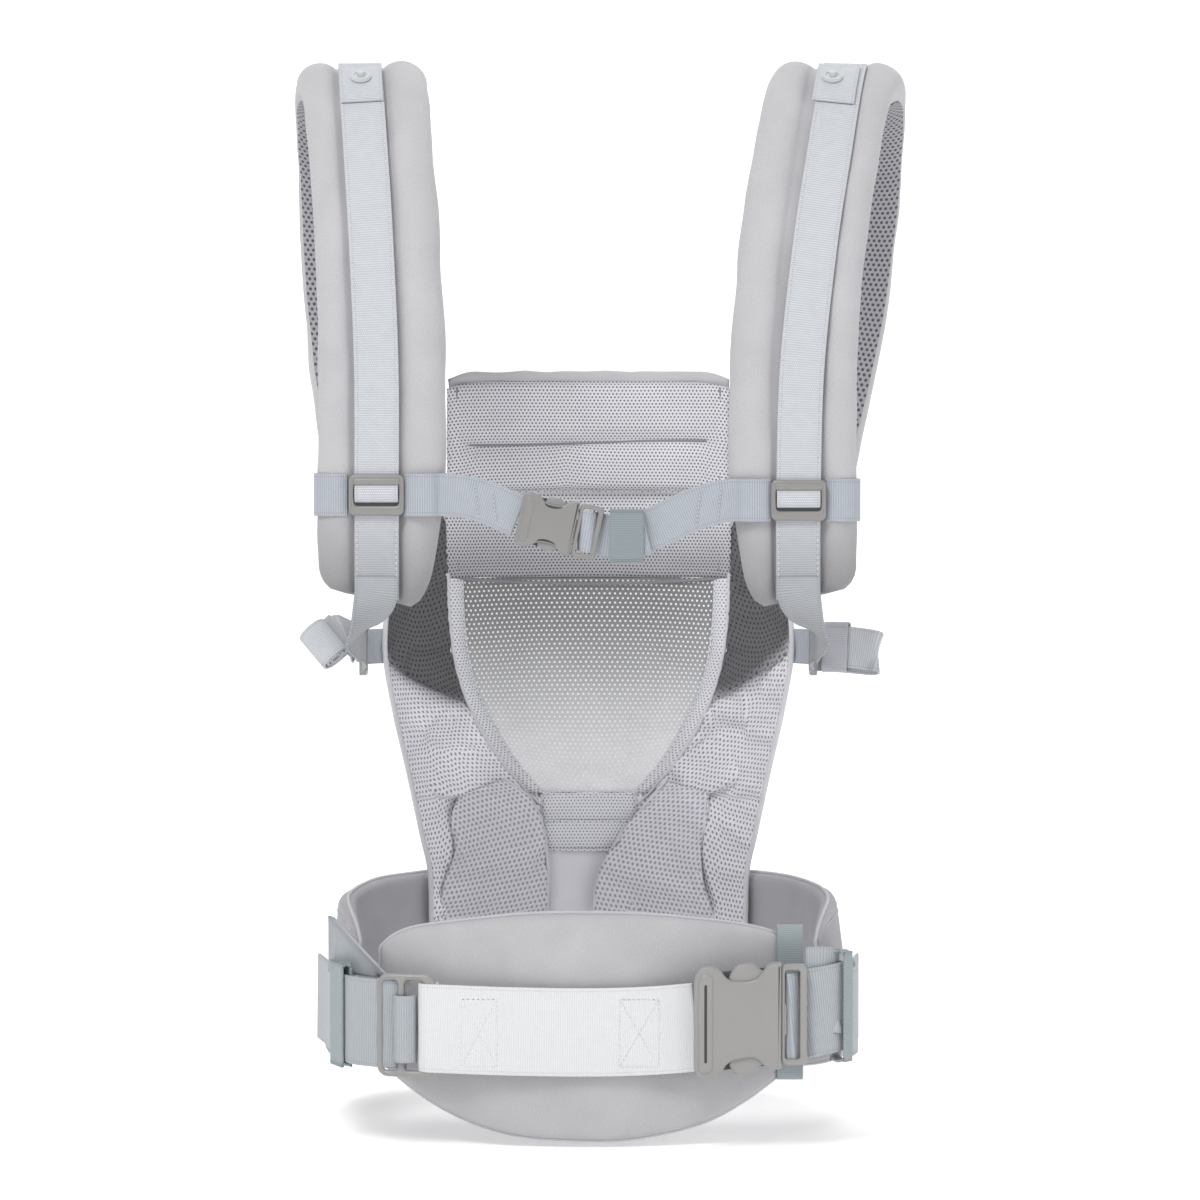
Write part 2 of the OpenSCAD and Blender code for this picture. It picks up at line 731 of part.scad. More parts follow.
belt_outer_cover();
belt_inner_cover();
belt_foam();
centre_mesh();
centre_mesh_border();
upper_panel();
side_panel_left();
side_panel_right();
lower_mesh_bands();
base_patch();
head_support_inner();
head_support_outer();
head_support_foam();
head_support_binding();
lumbar_cover();
lumbar_lining();
lumbar_foam();
waist_webbing();
waist_tri_glide();
waist_webbing_left();
waist_keeper_left();
waist_flap();
waist_buckle_housing();
waist_buckle_plug();
waist_prong_upper();
waist_prong_lower();
waist_webbing_right();
waist_webbing_tail();
waist_keeper_right();
waist_safety_loop();
strap_cover_left();
strap_foam_left();
strap_lining_left();
rail_webbing_left();
strap_cover_right();
strap_foam_right();
strap_lining_right();
rail_webbing_right();
snap_tabs();
snap_studs();
chest_slider_left();
chest_loop_left();
chest_webbing_left();
chest_buckle_housing();
chest_slider_right();
chest_loop_right();
chest_webbing_right();
chest_buckle_plug();
chest_prong_upper();
chest_prong_lower();
chest_webbing_tail();
chest_keeper();
adjuster_webbing_left();
ladder_lock_left();
webbing_roll_left();
anchor_tab_left();
adjuster_webbing_right();
ladder_lock_right();
webbing_fold_right();
anchor_tab_right();
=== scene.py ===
import json
import math

import bmesh
import bpy
import numpy as np
from mathutils import Matrix, Vector, noise


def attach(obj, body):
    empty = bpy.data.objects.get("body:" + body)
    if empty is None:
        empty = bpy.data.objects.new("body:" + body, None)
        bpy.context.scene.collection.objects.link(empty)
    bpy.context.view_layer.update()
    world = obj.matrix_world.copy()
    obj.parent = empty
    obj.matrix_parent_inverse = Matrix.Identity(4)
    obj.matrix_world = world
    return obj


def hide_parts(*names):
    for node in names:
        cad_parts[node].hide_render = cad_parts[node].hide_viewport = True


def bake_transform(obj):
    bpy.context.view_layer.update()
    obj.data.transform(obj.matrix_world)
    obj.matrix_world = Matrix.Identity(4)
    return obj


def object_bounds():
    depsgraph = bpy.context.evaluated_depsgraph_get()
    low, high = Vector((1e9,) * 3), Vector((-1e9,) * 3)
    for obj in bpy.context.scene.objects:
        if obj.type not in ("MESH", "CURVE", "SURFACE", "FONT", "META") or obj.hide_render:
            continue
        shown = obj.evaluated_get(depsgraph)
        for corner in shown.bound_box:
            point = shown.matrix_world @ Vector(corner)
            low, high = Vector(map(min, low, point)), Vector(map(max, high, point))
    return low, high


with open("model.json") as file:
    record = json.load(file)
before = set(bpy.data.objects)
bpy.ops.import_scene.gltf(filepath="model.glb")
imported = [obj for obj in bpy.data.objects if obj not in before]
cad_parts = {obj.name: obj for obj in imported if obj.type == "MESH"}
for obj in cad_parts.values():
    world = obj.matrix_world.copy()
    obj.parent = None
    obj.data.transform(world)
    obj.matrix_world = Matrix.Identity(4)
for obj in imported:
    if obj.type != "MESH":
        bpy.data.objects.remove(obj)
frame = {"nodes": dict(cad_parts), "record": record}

cad_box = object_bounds()
scene = bpy.context.scene
NODES = frame["nodes"]
MM = 0.001
UV = "cloth"


# ---------------------------------------------------------------- camera and light

def aim(ob, target):
    ob.rotation_euler = (Vector(target) - ob.location).to_track_quat("-Z", "Y").to_euler()


# In metres: far off with a long lens, a little above the middle of the panel
CAMERA, TARGET, LENS = (0.007, -2.635, 0.351), (0.007, -0.135, 0.241), 133.9


def make_camera():
    camera = bpy.data.objects.new("camera", bpy.data.cameras.new("camera"))
    scene.collection.objects.link(camera)
    camera.data.lens = LENS
    camera.data.sensor_width = 36
    camera.location = CAMERA
    aim(camera, TARGET)
    scene.camera = camera


def area_light(name, place, size, power):
    light = bpy.data.lights.new(name, "AREA")
    light.shape = "SQUARE"
    light.size = size
    light.energy = power
    ob = bpy.data.objects.new(name, light)
    scene.collection.objects.link(ob)
    ob.location = place
    aim(ob, (0, 0, 0.25))


def make_studio():
    """Soft light from all round, three large lamps, and a plain pale floor that bends up behind."""
    scene.view_settings.view_transform = "Standard"
    world = bpy.data.worlds.new("studio")
    scene.world = world
    world.use_nodes = True
    background = world.node_tree.nodes["Background"]
    background.inputs["Color"].default_value = (1, 1, 1, 1)
    background.inputs["Strength"].default_value = 0.56
    area_light("key", (-0.9, -2.0, 2.7), 1.2, 52)
    area_light("fill", (2.2, -1.8, 0.8), 1.6, 10)
    area_light("back", (0.6, 1.9, 2.4), 1.6, 20)

    low = cad_box[0][2] - 0.004
    size, start, radius = 9, 2.2, 0.9
    quarter = np.linspace(0, math.pi / 2, 13)
    bend = [(-size, 0)] + [(start + radius * math.sin(a), radius - radius * math.cos(a)) for a in quarter]
    bend.append((start + radius, size))
    me = bpy.data.meshes.new("floor")
    me.from_pydata([(x, y, low + z) for y, z in bend for x in (-size, size)], [],
                   [(2 * i, 2 * i + 1, 2 * i + 3, 2 * i + 2) for i in range(len(bend) - 1)])
    me.shade_smooth()
    floor = bpy.data.objects.new("floor", me)
    scene.collection.objects.link(floor)
    m = bpy.data.materials.new("floor")
    m.use_nodes = True
    for name, value in (("Base Color", (0.93, 0.93, 0.93, 1)), ("Roughness", 0.9),
                        ("Emission Color", (1, 1, 1, 1)), ("Emission Strength", 0.25)):
        m.node_tree.nodes["Principled BSDF"].inputs[name].default_value = value
    me.materials.append(m)


# ---------------------------------------------------------------- materials

def linear(rgb):
    """A colour from 0 to 255, as a shader needs it."""
    c = np.array(rgb, float) / 255
    return tuple(np.where(c <= 0.04045, c / 12.92, ((c + 0.055) / 1.055) ** 2.4)) + (1.0,)


class Paint:
    """A node material whose pattern is drawn in metres, along the cloth's UV map or in object space."""

    def __init__(self, name, rough=0.9, uv=True, sheen=0.0):
        self.m = bpy.data.materials.new(name)
        self.m.use_nodes = True
        self.tree = self.m.node_tree
        self.bsdf = self.tree.nodes["Principled BSDF"]
        self.bsdf.inputs["Roughness"].default_value = rough
        self.bsdf.inputs["Specular IOR Level"].default_value = 0.25
        self.bsdf.inputs["Sheen Weight"].default_value = sheen
        self.bsdf.inputs["Sheen Roughness"].default_value = 0.5
        if uv:
            at_node = self.tree.nodes.new("ShaderNodeUVMap")
            at_node.uv_map = UV
            self.place = at_node.outputs["UV"]
        else:
            self.place = self.tree.nodes.new("ShaderNodeTexCoord").outputs["Object"]
        split = self.tree.nodes.new("ShaderNodeSeparateXYZ")
        self.tree.links.new(self.place, split.inputs[0])
        self.u, self.v = split.outputs[0], split.outputs[1]

    def put(self, socket, value):
        """Link an output to the socket, or set its plain value."""
        if isinstance(value, bpy.types.NodeSocket):
            self.tree.links.new(value, socket)
        else:
            socket.default_value = value

    def math(self, op, a, b=0.0, clamp=False):
        n = self.tree.nodes.new("ShaderNodeMath")
        n.operation = op
        n.use_clamp = clamp
        self.put(n.inputs[0], a)
        self.put(n.inputs[1], b)
        return n.outputs[0]

    def wave(self, x, pitch, phase=0.0):
        """cos along x, once each pitch."""
        return self.math("COSINE", self.math("ADD", self.math("MULTIPLY", x, 2 * math.pi / pitch), phase))

    def steps(self, value, low, high):
        """From 0 at low to 1 at high, smoothly."""
        n = self.tree.nodes.new("ShaderNodeMapRange")
        n.interpolation_type = "SMOOTHSTEP"
        self.put(n.inputs["Value"], value)
        n.inputs["From Min"].default_value = low
        n.inputs["From Max"].default_value = high
        return n.outputs["Result"]

    def noise(self, size, stretch=(1, 1, 1), detail=2.0):
        """Soft noise in 0..1, whose lumps are about size metres across."""
        mapping = self.tree.nodes.new("ShaderNodeMapping")
        mapping.inputs["Scale"].default_value = [s / size for s in stretch]
        self.tree.links.new(self.place, mapping.inputs["Vector"])
        n = self.tree.nodes.new("ShaderNodeTexNoise")
        n.inputs["Scale"].default_value = 1.0
        n.inputs["Detail"].default_value = detail
        self.tree.links.new(mapping.outputs[0], n.inputs["Vector"])
        return n.outputs["Fac"]

    def mix(self, factor, a, b):
        n = self.tree.nodes.new("ShaderNodeMix")
        n.data_type = "RGBA"
        self.put(n.inputs["Factor"], factor)
        self.put(n.inputs["A"], a)
        self.put(n.inputs["B"], b)
        return n.outputs["Result"]

    def shade(self, colour, factor, low, high):
        """colour made darker or lighter, from low to high times, by a factor in 0..1."""
        c = [x * low for x in colour[:3]] + [1.0]
        d = [min(1.0, x * high) for x in colour[:3]] + [1.0]
        return self.mix(factor, c, d)

    def gain(self, colour, value, low, high, dim, bright):
        """colour times a number that goes from dim to bright while value goes from low to high."""
        amount = self.tree.nodes.new("ShaderNodeMapRange")
        amount.interpolation_type = "SMOOTHSTEP"
        self.put(amount.inputs["Value"], value)
        for name, number in (("From Min", low), ("From Max", high), ("To Min", dim), ("To Max", bright)):
            amount.inputs[name].default_value = number
        scaled = self.tree.nodes.new("ShaderNodeVectorMath")
        scaled.operation = "SCALE"
        self.put(scaled.inputs[0], colour)
        self.tree.links.new(amount.outputs["Result"], scaled.inputs["Scale"])
        return scaled.outputs[0]

    def finish(self, colour, height, depth, strength, rough=None):
        """Give the surface its colour, and a relief of depth metres from height."""
        self.put(self.bsdf.inputs["Base Color"], colour)
        if rough is not None:
            self.put(self.bsdf.inputs["Roughness"], rough)
        bump = self.tree.nodes.new("ShaderNodeBump")
        bump.inputs["Distance"].default_value = depth
        bump.inputs["Strength"].default_value = strength
        self.put(bump.inputs["Height"], height)
        self.tree.links.new(bump.outputs[0], self.bsdf.inputs["Normal"])
        return self.m


def woven(name, rgb, pitch=0.0008, contrast=0.07, fade=None):
    """Plain weave: threads over and under each other, with slubs along both directions.

    fade is (from, to, dim, bright): painted shade, the cloth goes from dim to bright along v.
    """
    p = Paint(name, rough=0.92, sheen=0.12)
    over = p.math("MULTIPLY", p.wave(p.u, pitch), p.wave(p.v, pitch))
    slub, uneven = 0.0011, 0.78
    slubs = p.math("ADD", p.noise(slub, (5, 1, 1)), p.noise(slub, (1, 5, 1)))
    blotches = p.math("MULTIPLY", p.noise(0.03), 0.5)
    grain = p.math("ADD", p.math("SUBTRACT", slubs, uneven), blotches)
    height = p.math("ADD", p.math("MULTIPLY", over, 0.35), slubs)
    colour = p.shade(linear(rgb), grain, 1 - contrast, 1 + contrast)
    if fade:
        colour = p.gain(colour, p.v, *fade)
    return p.finish(colour, height, 0.00025, 0.7)


def netting(name, thread, hole, row, stretch=1.0, low=0.2, high=0.6, depth=0.0006, light_spots=0.0,
            fade=None):
    """Knitted mesh: staggered round holes in rows, row metres apart, longer along v by stretch.

    fade is (slope, start, end, dim, bright): painted shade, the mesh goes from dim to bright while v + slope *
    u goes from start to end.
    """
    p = Paint(name, rough=0.85, sheen=0.1)
    across = p.math("MULTIPLY", p.wave(p.v, row * 2 * stretch), p.wave(p.u, row * 2 / math.sqrt(3)))
    rows = p.math("MULTIPLY", p.wave(p.v, row * stretch), 1 / 3)
    grid = p.math("ADD", rows, p.math("MULTIPLY", across, 2 / 3))
    inside = p.steps(grid, low, high)
    blotches = p.noise(0.035)
    base = p.shade(linear(thread), blotches, 0.9, 1.08)
    # The holes are painted on a solid sheet: a dark hole colour is painted shade, what shows through the mesh
    # from behind; a white one is painted light, the bright backdrop seen through it.
    inner = p.shade(linear(hole), blotches, 1 - light_spots, 1 + light_spots)
    height = p.math("SUBTRACT", 1.0, inside)
    if fade:
        slope, *span = fade
        across = p.math("ADD", p.v, p.math("MULTIPLY", p.u, slope))
        base = p.gain(base, across, *span)
        inner = inner if light_spots else p.gain(inner, across, *span)
    return p.finish(p.mix(inside, base, inner), height, depth, 0.8)


def ribbed(name, rgb, wide, pitch=0.0013, contrast=0.3, edges=True, fade=None):
    """Flat webbing: fine ribs across it, and a firmer edge down both sides; it takes painted shade along v like
    woven cloth.
    """
    p = Paint(name, rough=0.72, sheen=0.15)
    twill = p.math("MULTIPLY", p.math("MULTIPLY", p.wave(p.v, pitch * 2), p.wave(p.u, pitch)), 0.25)
    lines = p.math("MULTIPLY", p.wave(p.v, pitch), 0.3)
    height = p.math("ADD", p.math("ADD", twill, lines), 0.5)
    grain = p.math("ADD", p.math("MULTIPLY", height, 0.8), p.math("MULTIPLY", p.noise(0.006), 0.2))
    colour = p.shade(linear(rgb), grain, 1 - contrast, 1 + contrast)
    if edges:
        side = p.math("ABSOLUTE", p.u)
        line = p.math("SUBTRACT", side, wide / 2 - 0.0019)
        groove = p.math("SUBTRACT", 1.0, p.steps(p.math("ABSOLUTE", line), 0.0001, 0.0006))
        # The groove is a real dip (its bump) and its darker colour is painted shade in the groove.
        colour = p.mix(p.math("MULTIPLY", groove, 0.16), colour, linear([c * 0.72 for c in rgb]))
        height = p.math("SUBTRACT", height, groove)
    if fade:
        colour = p.gain(colour, p.v, *fade)
    return p.finish(colour, height, 0.00022, 0.6)


def moulded(name, rgb, rough):
    """Moulded plastic or foam, very finely grained."""
    p = Paint(name, rough=rough, uv=False)
    p.bsdf.inputs["Specular IOR Level"].default_value = 0.5
    fine = p.noise(0.0006, detail=3.0)
    broad = p.noise(0.02)
    colour = p.shade(linear(rgb), broad, 0.96, 1.04)
    rough_map = p.math("ADD", p.math("MULTIPLY", broad, 0.12), rough - 0.06)
    return p.finish(colour, fine, 0.00008, 0.35, rough_map)


fabric = woven("plain_fabric", (188, 187, 190), contrast=0.24)
# The belt's cloth is a darker copy of the plain fabric: painted shade, for the belt's inner face in shadow.
belt_fabric = woven("belt_fabric", (174, 173, 177), contrast=0.22)
# The straps' cloth gets darker towards the pads' feet: painted shade.
strap_fabric = woven("strap_fabric", (191, 190, 193), contrast=0.2, fade=(-0.015, 0.075, 0.50, 1.0))
# The base patch has a paler colour than its cloth: painted light, lifting it out of the shade it lies in.
patch_fabric = woven("patch_fabric", (226, 225, 232), contrast=0.07)
NECK = (218, 217, 222), (98, 97, 106), 0.0020
head_mesh = netting("neck_mesh", *NECK)
# The mesh above the window gets darker towards its foot: painted shade.
neck_mesh = netting("lower_neck_mesh", *NECK, fade=(0, -0.026, 0.022, 0.60, 1.0))
# Window mesh: painted shade, its threads get darker towards the top; its white holes are painted light, the
# bright backdrop seen through them.
window = netting("window_mesh", (234, 234, 237), (255, 255, 255), 0.00285, low=0.34, high=0.6, light_spots=0.02,
                 fade=(0, -0.062, 0.062, 0.95, 0.28))
border = netting("border_mesh", (222, 222, 227), (140, 140, 148), 0.0019, low=0.25, high=0.7)
# The open meshes are 0.9 mm deep; each thigh panel has painted shade towards its top, for the strap's shadow
THICK_MESH = 0.0009
THIGH = (238, 237, 243), (158, 157, 168), 0.0025, 1.25, 0.2, 0.55, THICK_MESH
thigh = {"left": netting("thigh_mesh_left", *THIGH, fade=(0.54, 0.016, 0.038, 1.0, 0.15)),
         "right": netting("thigh_mesh_right", *THIGH, fade=(-0.71, 0.026, 0.050, 0.88, 0.15))}
seat_mesh = netting("seat_mesh", (216, 215, 222), (164, 163, 174), 0.0025, 1.25, 0.12, 0.5, THICK_MESH)
# The strap lining mesh is much darker than the other meshes: painted shade, for the strap's underside.
underside = netting("underside_mesh", (160, 160, 165), (84, 84, 92), 0.0027, 1.15, 0.05, 0.45, THICK_MESH)
rail_web = ribbed("rail_webbing", (190, 193, 198), 0.025)
# The lower rail webbing gets darker towards the pads' feet: painted shade.
low_rail_web = ribbed("lower_rail_webbing", (190, 193, 198), 0.025, fade=(0.0, 0.07, 0.66, 1.0))
# The adjuster webbing is a darker copy of the rail webbing, darker still along its length: painted shade.
adjuster_web = ribbed("adjuster_webbing", (186, 189, 194), 0.025, fade=(0.0, 0.04, 0.74, 0.62))
waist_web = ribbed("waist_webbing", (167, 172, 177), 0.05)
white_web = ribbed("white_webbing", (217, 218, 220), 0.05, contrast=0.10)
chest_web = ribbed("chest_webbing", (167, 172, 180), 0.024)
elastic = ribbed("elastic_band", (150, 159, 163), 0.05, 0.0013, 0.2, False)
fold_elastic = ribbed("fold_elastic_band", (176, 177, 184), 0.05, 0.0013, 0.2, False)
# The chest keeper's elastic is a darker copy of the elastic band: painted shade.
chest_elastic = ribbed("chest_elastic_band", (136, 145, 149), 0.05, 0.0013, 0.2, False)
trim = woven("binding_tape", (196, 195, 199), 0.0007, 0.06)
piping = woven("seam_piping", (214, 213, 218), 0.0006, 0.05)
# seam_shade is painted shadow: dark tapes laid along seams where their creases fall in shade.
seam_shade = woven("seam_shade", (146, 145, 152), 0.0006, 0.05)
thread = woven("thread", (214, 214, 218), 0.0004, 0.04)
white_thread = woven("white_thread", (232, 232, 234), 0.0004, 0.04)
# Dark plates put in the buckles' and sliders' hollows, grooves and slits: painted shadow, where there is only
# shade.
shadow = moulded("painted_shadow_plastic", (58, 58, 60), 0.6)
plastic = moulded("satin_plastic", (149, 148, 147), 0.32)
# The chest fittings' plastic is a darker copy of the satin plastic: painted shade, for the buckle in shade
# between the straps.
chest_plastic = moulded("chest_plastic", (139, 138, 137), 0.32)
clear = moulded("stud_plastic", (200, 202, 204), 0.16)
foam = moulded("foam", (232, 230, 222), 0.95)


# ---------------------------------------------------------------- curves and meshes

def unit(v):
    v = np.asarray(v, float)
    return v / np.maximum(np.linalg.norm(v, axis=-1, keepdims=True), 1e-12)


def smooth(points, n, closed=False):
    """A smooth curve through the points, with n steps between each two."""
    p = np.asarray(points, float)
    count = len(p)
    out = []
    for i in range(count if closed else count - 1):
        if closed:
            a, b, c, d = (p[(i + k) % count] for k in (-1, 0, 1, 2))
        else:
            a, b, c, d = p[max(i - 1, 0)], p[i], p[i + 1], p[min(i + 2, count - 1)]
        for k in range(n):
            u = k / n
            out.append(0.5 * (2 * b + (c - a) * u + (2 * a - 5 * b + 4 * c - d) * u * u
                              + (3 * b - a - 3 * c + d) * u ** 3))
    if not closed:
        out.append(p[-1])
    return np.array(out)


def frames(p, w):
    """Tangent, width and outward direction at each point of p."""
    t = np.empty_like(p)
    t[1:-1] = p[2:] - p[:-2]
    t[0], t[-1] = p[1] - p[0], p[-1] - p[-2]
    t = unit(t)
    w = np.broadcast_to(np.asarray(w, float), p.shape)
    a = unit(w - t * (w * t).sum(1, keepdims=True))
    return t, a, -np.cross(t, a)


def lengths(p):
    """How far along the curve each of its points is."""
    return np.concatenate([[0], np.cumsum(np.linalg.norm(np.diff(p, axis=0), axis=1))])


def make(name, points, faces, uv, paint):
    """A mesh piece from points in millimetres, with its cloth coordinates in millimetres."""
    me = bpy.data.meshes.new(name)
    me.from_pydata((np.asarray(points).reshape(-1, 3) * MM).tolist(), [], faces)
    layer = me.uv_layers.new(name=UV)
    index = np.empty(len(me.loops), int)
    me.loops.foreach_get("vertex_index", index)
    layer.data.foreach_set("uv", (np.asarray(uv, float).reshape(-1, 2)[index] * MM).ravel())
    me.shade_smooth()
    me.materials.append(paint)
    ob = bpy.data.objects.new(name, me)
    scene.collection.objects.link(ob)
    return ob


def put(piece, body, slot, *nodes):
    """The piece moves with a body and stands for CAD nodes, which it hides; slot is not used."""
    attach(piece, body)
    if nodes:
        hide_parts(*nodes)
    return piece


def loft_faces(m, n):
    """Faces of a tube of m rings with n points each, closed at both ends."""
    faces = [(i * n + j, i * n + (j + 1) % n, (i + 1) * n + (j + 1) % n, (i + 1) * n + j)
             for i in range(m - 1) for j in range(n)]
    return faces + [tuple(range(n - 1, -1, -1)), tuple(range((m - 1) * n, m * n))]


def swept(name, path, w, sections, paint):
    """Closed sections, (m, n, 2) or one (n, 2), drawn along path: across the width, then outwards."""
    path = np.asarray(path, float)
    sections = np.asarray(sections, float)
    if sections.ndim == 2:
        sections = np.broadcast_to(sections, (len(path),) + sections.shape)
    t, a, n = frames(path, w)
    points = path[:, None] + a[:, None] * sections[:, :, :1] + n[:, None] * sections[:, :, 1:]
    uv = np.empty(points.shape[:2] + (2,))
    uv[..., 0] = sections[..., 0]
    uv[..., 1] = lengths(path)[:, None]
    return make(name, points, loft_faces(*points.shape[:2]), uv, paint)


def band(wide, thick, across=8):
    """Section of a webbing: flat faces and rounded edges."""
    half, t = wide / 2, thick / 2
    x = np.concatenate([[-half + 0.35], np.linspace(-half + 1.2, half - 1.2, across), [half - 0.35]])
    top = [(v, t) for v in x] + [(half - 0.05, t * 0.6), (half - 0.05, -t * 0.6)]
    return np.array(top + [(-a, -b) for a, b in top])


def webbing(name, route, w, wide, paint, thick=1.6, steps=8):
    return swept(name, smooth(route, steps), w, band(wide, thick), paint)


def normals(grid):
    du = np.gradient(grid, axis=0)
    dv = np.gradient(grid, axis=1)
    return unit(np.cross(du, dv))


def grid_uv(grid):
    """Cloth coordinates from the lengths along the middle row and column."""
    m, n = grid.shape[:2]
    up = np.linalg.norm(np.diff(grid, axis=0), axis=2)
    across = np.linalg.norm(np.diff(grid, axis=1), axis=2)
    along = np.concatenate([np.zeros((1, n)), np.cumsum(up, axis=0)])
    over = np.concatenate([np.zeros((m, 1)), np.cumsum(across, axis=1)], 1)
    over -= over[:, n // 2:n // 2 + 1]
    along -= along[m // 2:m // 2 + 1]
    return np.stack([over, along], 2)


def shell(name, grid, thick, paint, uv=None):
    """A closed sheet of cloth, thick millimetres, round a grid of points."""
    m, n = grid.shape[:2]
    nrm = normals(grid)
    uv = grid_uv(grid) if uv is None else uv
    points = np.concatenate([(grid + k * nrm * thick / 2).reshape(-1, 3) for k in (1, -1)])
    k = m * n
    faces = []
    for i in range(m - 1):
        for j in range(n - 1):
            a, b, c, d = i * n + j, (i + 1) * n + j, (i + 1) * n + j + 1, i * n + j + 1
            faces += [(a, b, c, d), (d + k, c + k, b + k, a + k)]
    rim = [j for j in range(n)] + [i * n + n - 1 for i in range(1, m)]
    rim += [(m - 1) * n + j for j in range(n - 2, -1, -1)] + [i * n for i in range(m - 2, 0, -1)]
    faces += [(a, b, b + k, a + k) for a, b in zip(rim, rim[1:] + rim[:1])]
    return make(name, points, faces, np.concatenate([uv.reshape(-1, 2)] * 2), paint)


def pillow(name, front, back, paint):
    """A closed pad from its front and back grids, which share their rim."""
    m, n = front.shape[:2]
    points = list(front.reshape(-1, 3))
    uv = list(grid_uv(front).reshape(-1, 2))
    behind = {}
    back_uv = grid_uv(back)
    for i in range(m):
        for j in range(n):
            if i in (0, m - 1) or j in (0, n - 1):
                behind[i, j] = i * n + j
            else:
                behind[i, j] = len(points)
                points.append(back[i, j])
                uv.append(back_uv[i, j])
    faces = []
    for i in range(m - 1):
        for j in range(n - 1):
            faces.append((i * n + j, (i + 1) * n + j, (i + 1) * n + j + 1, i * n + j + 1))
            faces.append((behind[i, j], behind[i, j + 1], behind[i + 1, j + 1], behind[i + 1, j]))
    ob = make(name, np.array(points), faces, np.array(uv), paint)
    ob["rim"] = [i * n + j for i in range(m) for j in range(n) if i in (0, m - 1) or j in (0, n - 1)]
    return ob


def co_of(ob):
    co = np.empty(len(ob.data.vertices) * 3)
    ob.data.vertices.foreach_get("co", co)
    return co.reshape(-1, 3)


def set_co(ob, co):
    ob.data.vertices.foreach_set("co", np.asarray(co).ravel())
    ob.data.update()


def stuff(ob, pins, pressure, cap, frames_run, grow=0.0):
    """Cloth simulation that fills a pad or loosens a sheet; no point moves more than cap millimetres."""
    rest = co_of(ob)
    group = ob.vertex_groups.new(name="pin")
    group.add([int(i) for i in pins], 1.0, "REPLACE")
    cloth = ob.modifiers.new("cloth", "CLOTH")
    s = cloth.settings
    s.vertex_group_mass = "pin"
    s.effector_weights.gravity = 0
    s.quality = 5
    s.mass = 0.15
    s.tension_stiffness = s.compression_stiffness = 12
    s.bending_stiffness = 0.4
    s.shrink_min = -grow
    s.use_pressure = pressure != 0
    s.uniform_pressure_force = pressure
    cloth.collision_settings.use_collision = False
    cloth.point_cache.frame_start = 1
    cloth.point_cache.frame_end = frames_run
    for f in range(1, frames_run + 1):
        scene.frame_set(f)
    depsgraph = bpy.context.evaluated_depsgraph_get()
    moved = np.empty(len(rest) * 3)
    ob.evaluated_get(depsgraph).data.vertices.foreach_get("co", moved)
    move = moved.reshape(-1, 3) - rest
    size = np.linalg.norm(move, axis=1, keepdims=True)
    limit = cap * MM
    move *= np.where(size > 1e-9, limit * np.tanh(size / limit) / np.maximum(size, 1e-9), 0)
    ob.modifiers.remove(cloth)
    ob.vertex_groups.remove(group)
    scene.frame_set(1)
    set_co(ob, rest + move)


def ripple(ob, depth, size, seed):
    """Uneven handwork: points move along their normals by up to depth millimetres."""
    co = co_of(ob)
    nrm = np.empty(len(co) * 3)
    ob.data.vertex_normals.foreach_get("vector", nrm)
    nrm = nrm.reshape(-1, 3)
    amount = np.array([noise.noise(Vector(p) / (size * MM) + Vector((seed, 0, 0))) for p in co])
    set_co(ob, co + nrm * (amount * depth * MM)[:, None])


def stitches(name, path, out, pitch=3.2, long=2.1, r=0.33, paint=None):
    """One seam of thread: a short raised stitch every pitch along path, standing off towards out."""
    path = np.asarray(path, float)
    s = lengths(path)
    out = np.broadcast_to(np.asarray(out, float), path.shape)
    at = np.arange(pitch / 2, s[-1] - pitch / 2, pitch)
    ring = 6
    turn = np.arange(ring) * 2 * math.pi / ring
    points, faces, uv = [], [], []
    for c in at:
        ends = [np.array([np.interp(c + d, s, path[:, k]) for k in range(3)]) for d in (-long / 2, long / 2)]
        n = unit(np.array([np.interp(c, s, out[:, k]) for k in range(3)]))
        t = unit(ends[1] - ends[0])
        b = np.cross(t, n)
        base = len(points)
        for share, scale in ((-0.5, 0.35), (-0.3, 1), (0.3, 1), (0.5, 0.35)):
            mid = (ends[0] + ends[1]) / 2 + t * share * long
            for a in turn:
                points.append(mid + (n * math.sin(a) + b * math.cos(a)) * r * scale)
                uv.append((r * a, share * long))
        faces += [tuple(base + k for k in f) for f in loft_faces(4, ring)]
    return make(name, np.array(points), faces, np.array(uv), paint or thread)


def sew(name, path, out, *how, slot="fabric"):
    """Stitches that go with the carrier."""
    put(stitches(name, path, out, *how), "carrier", slot)


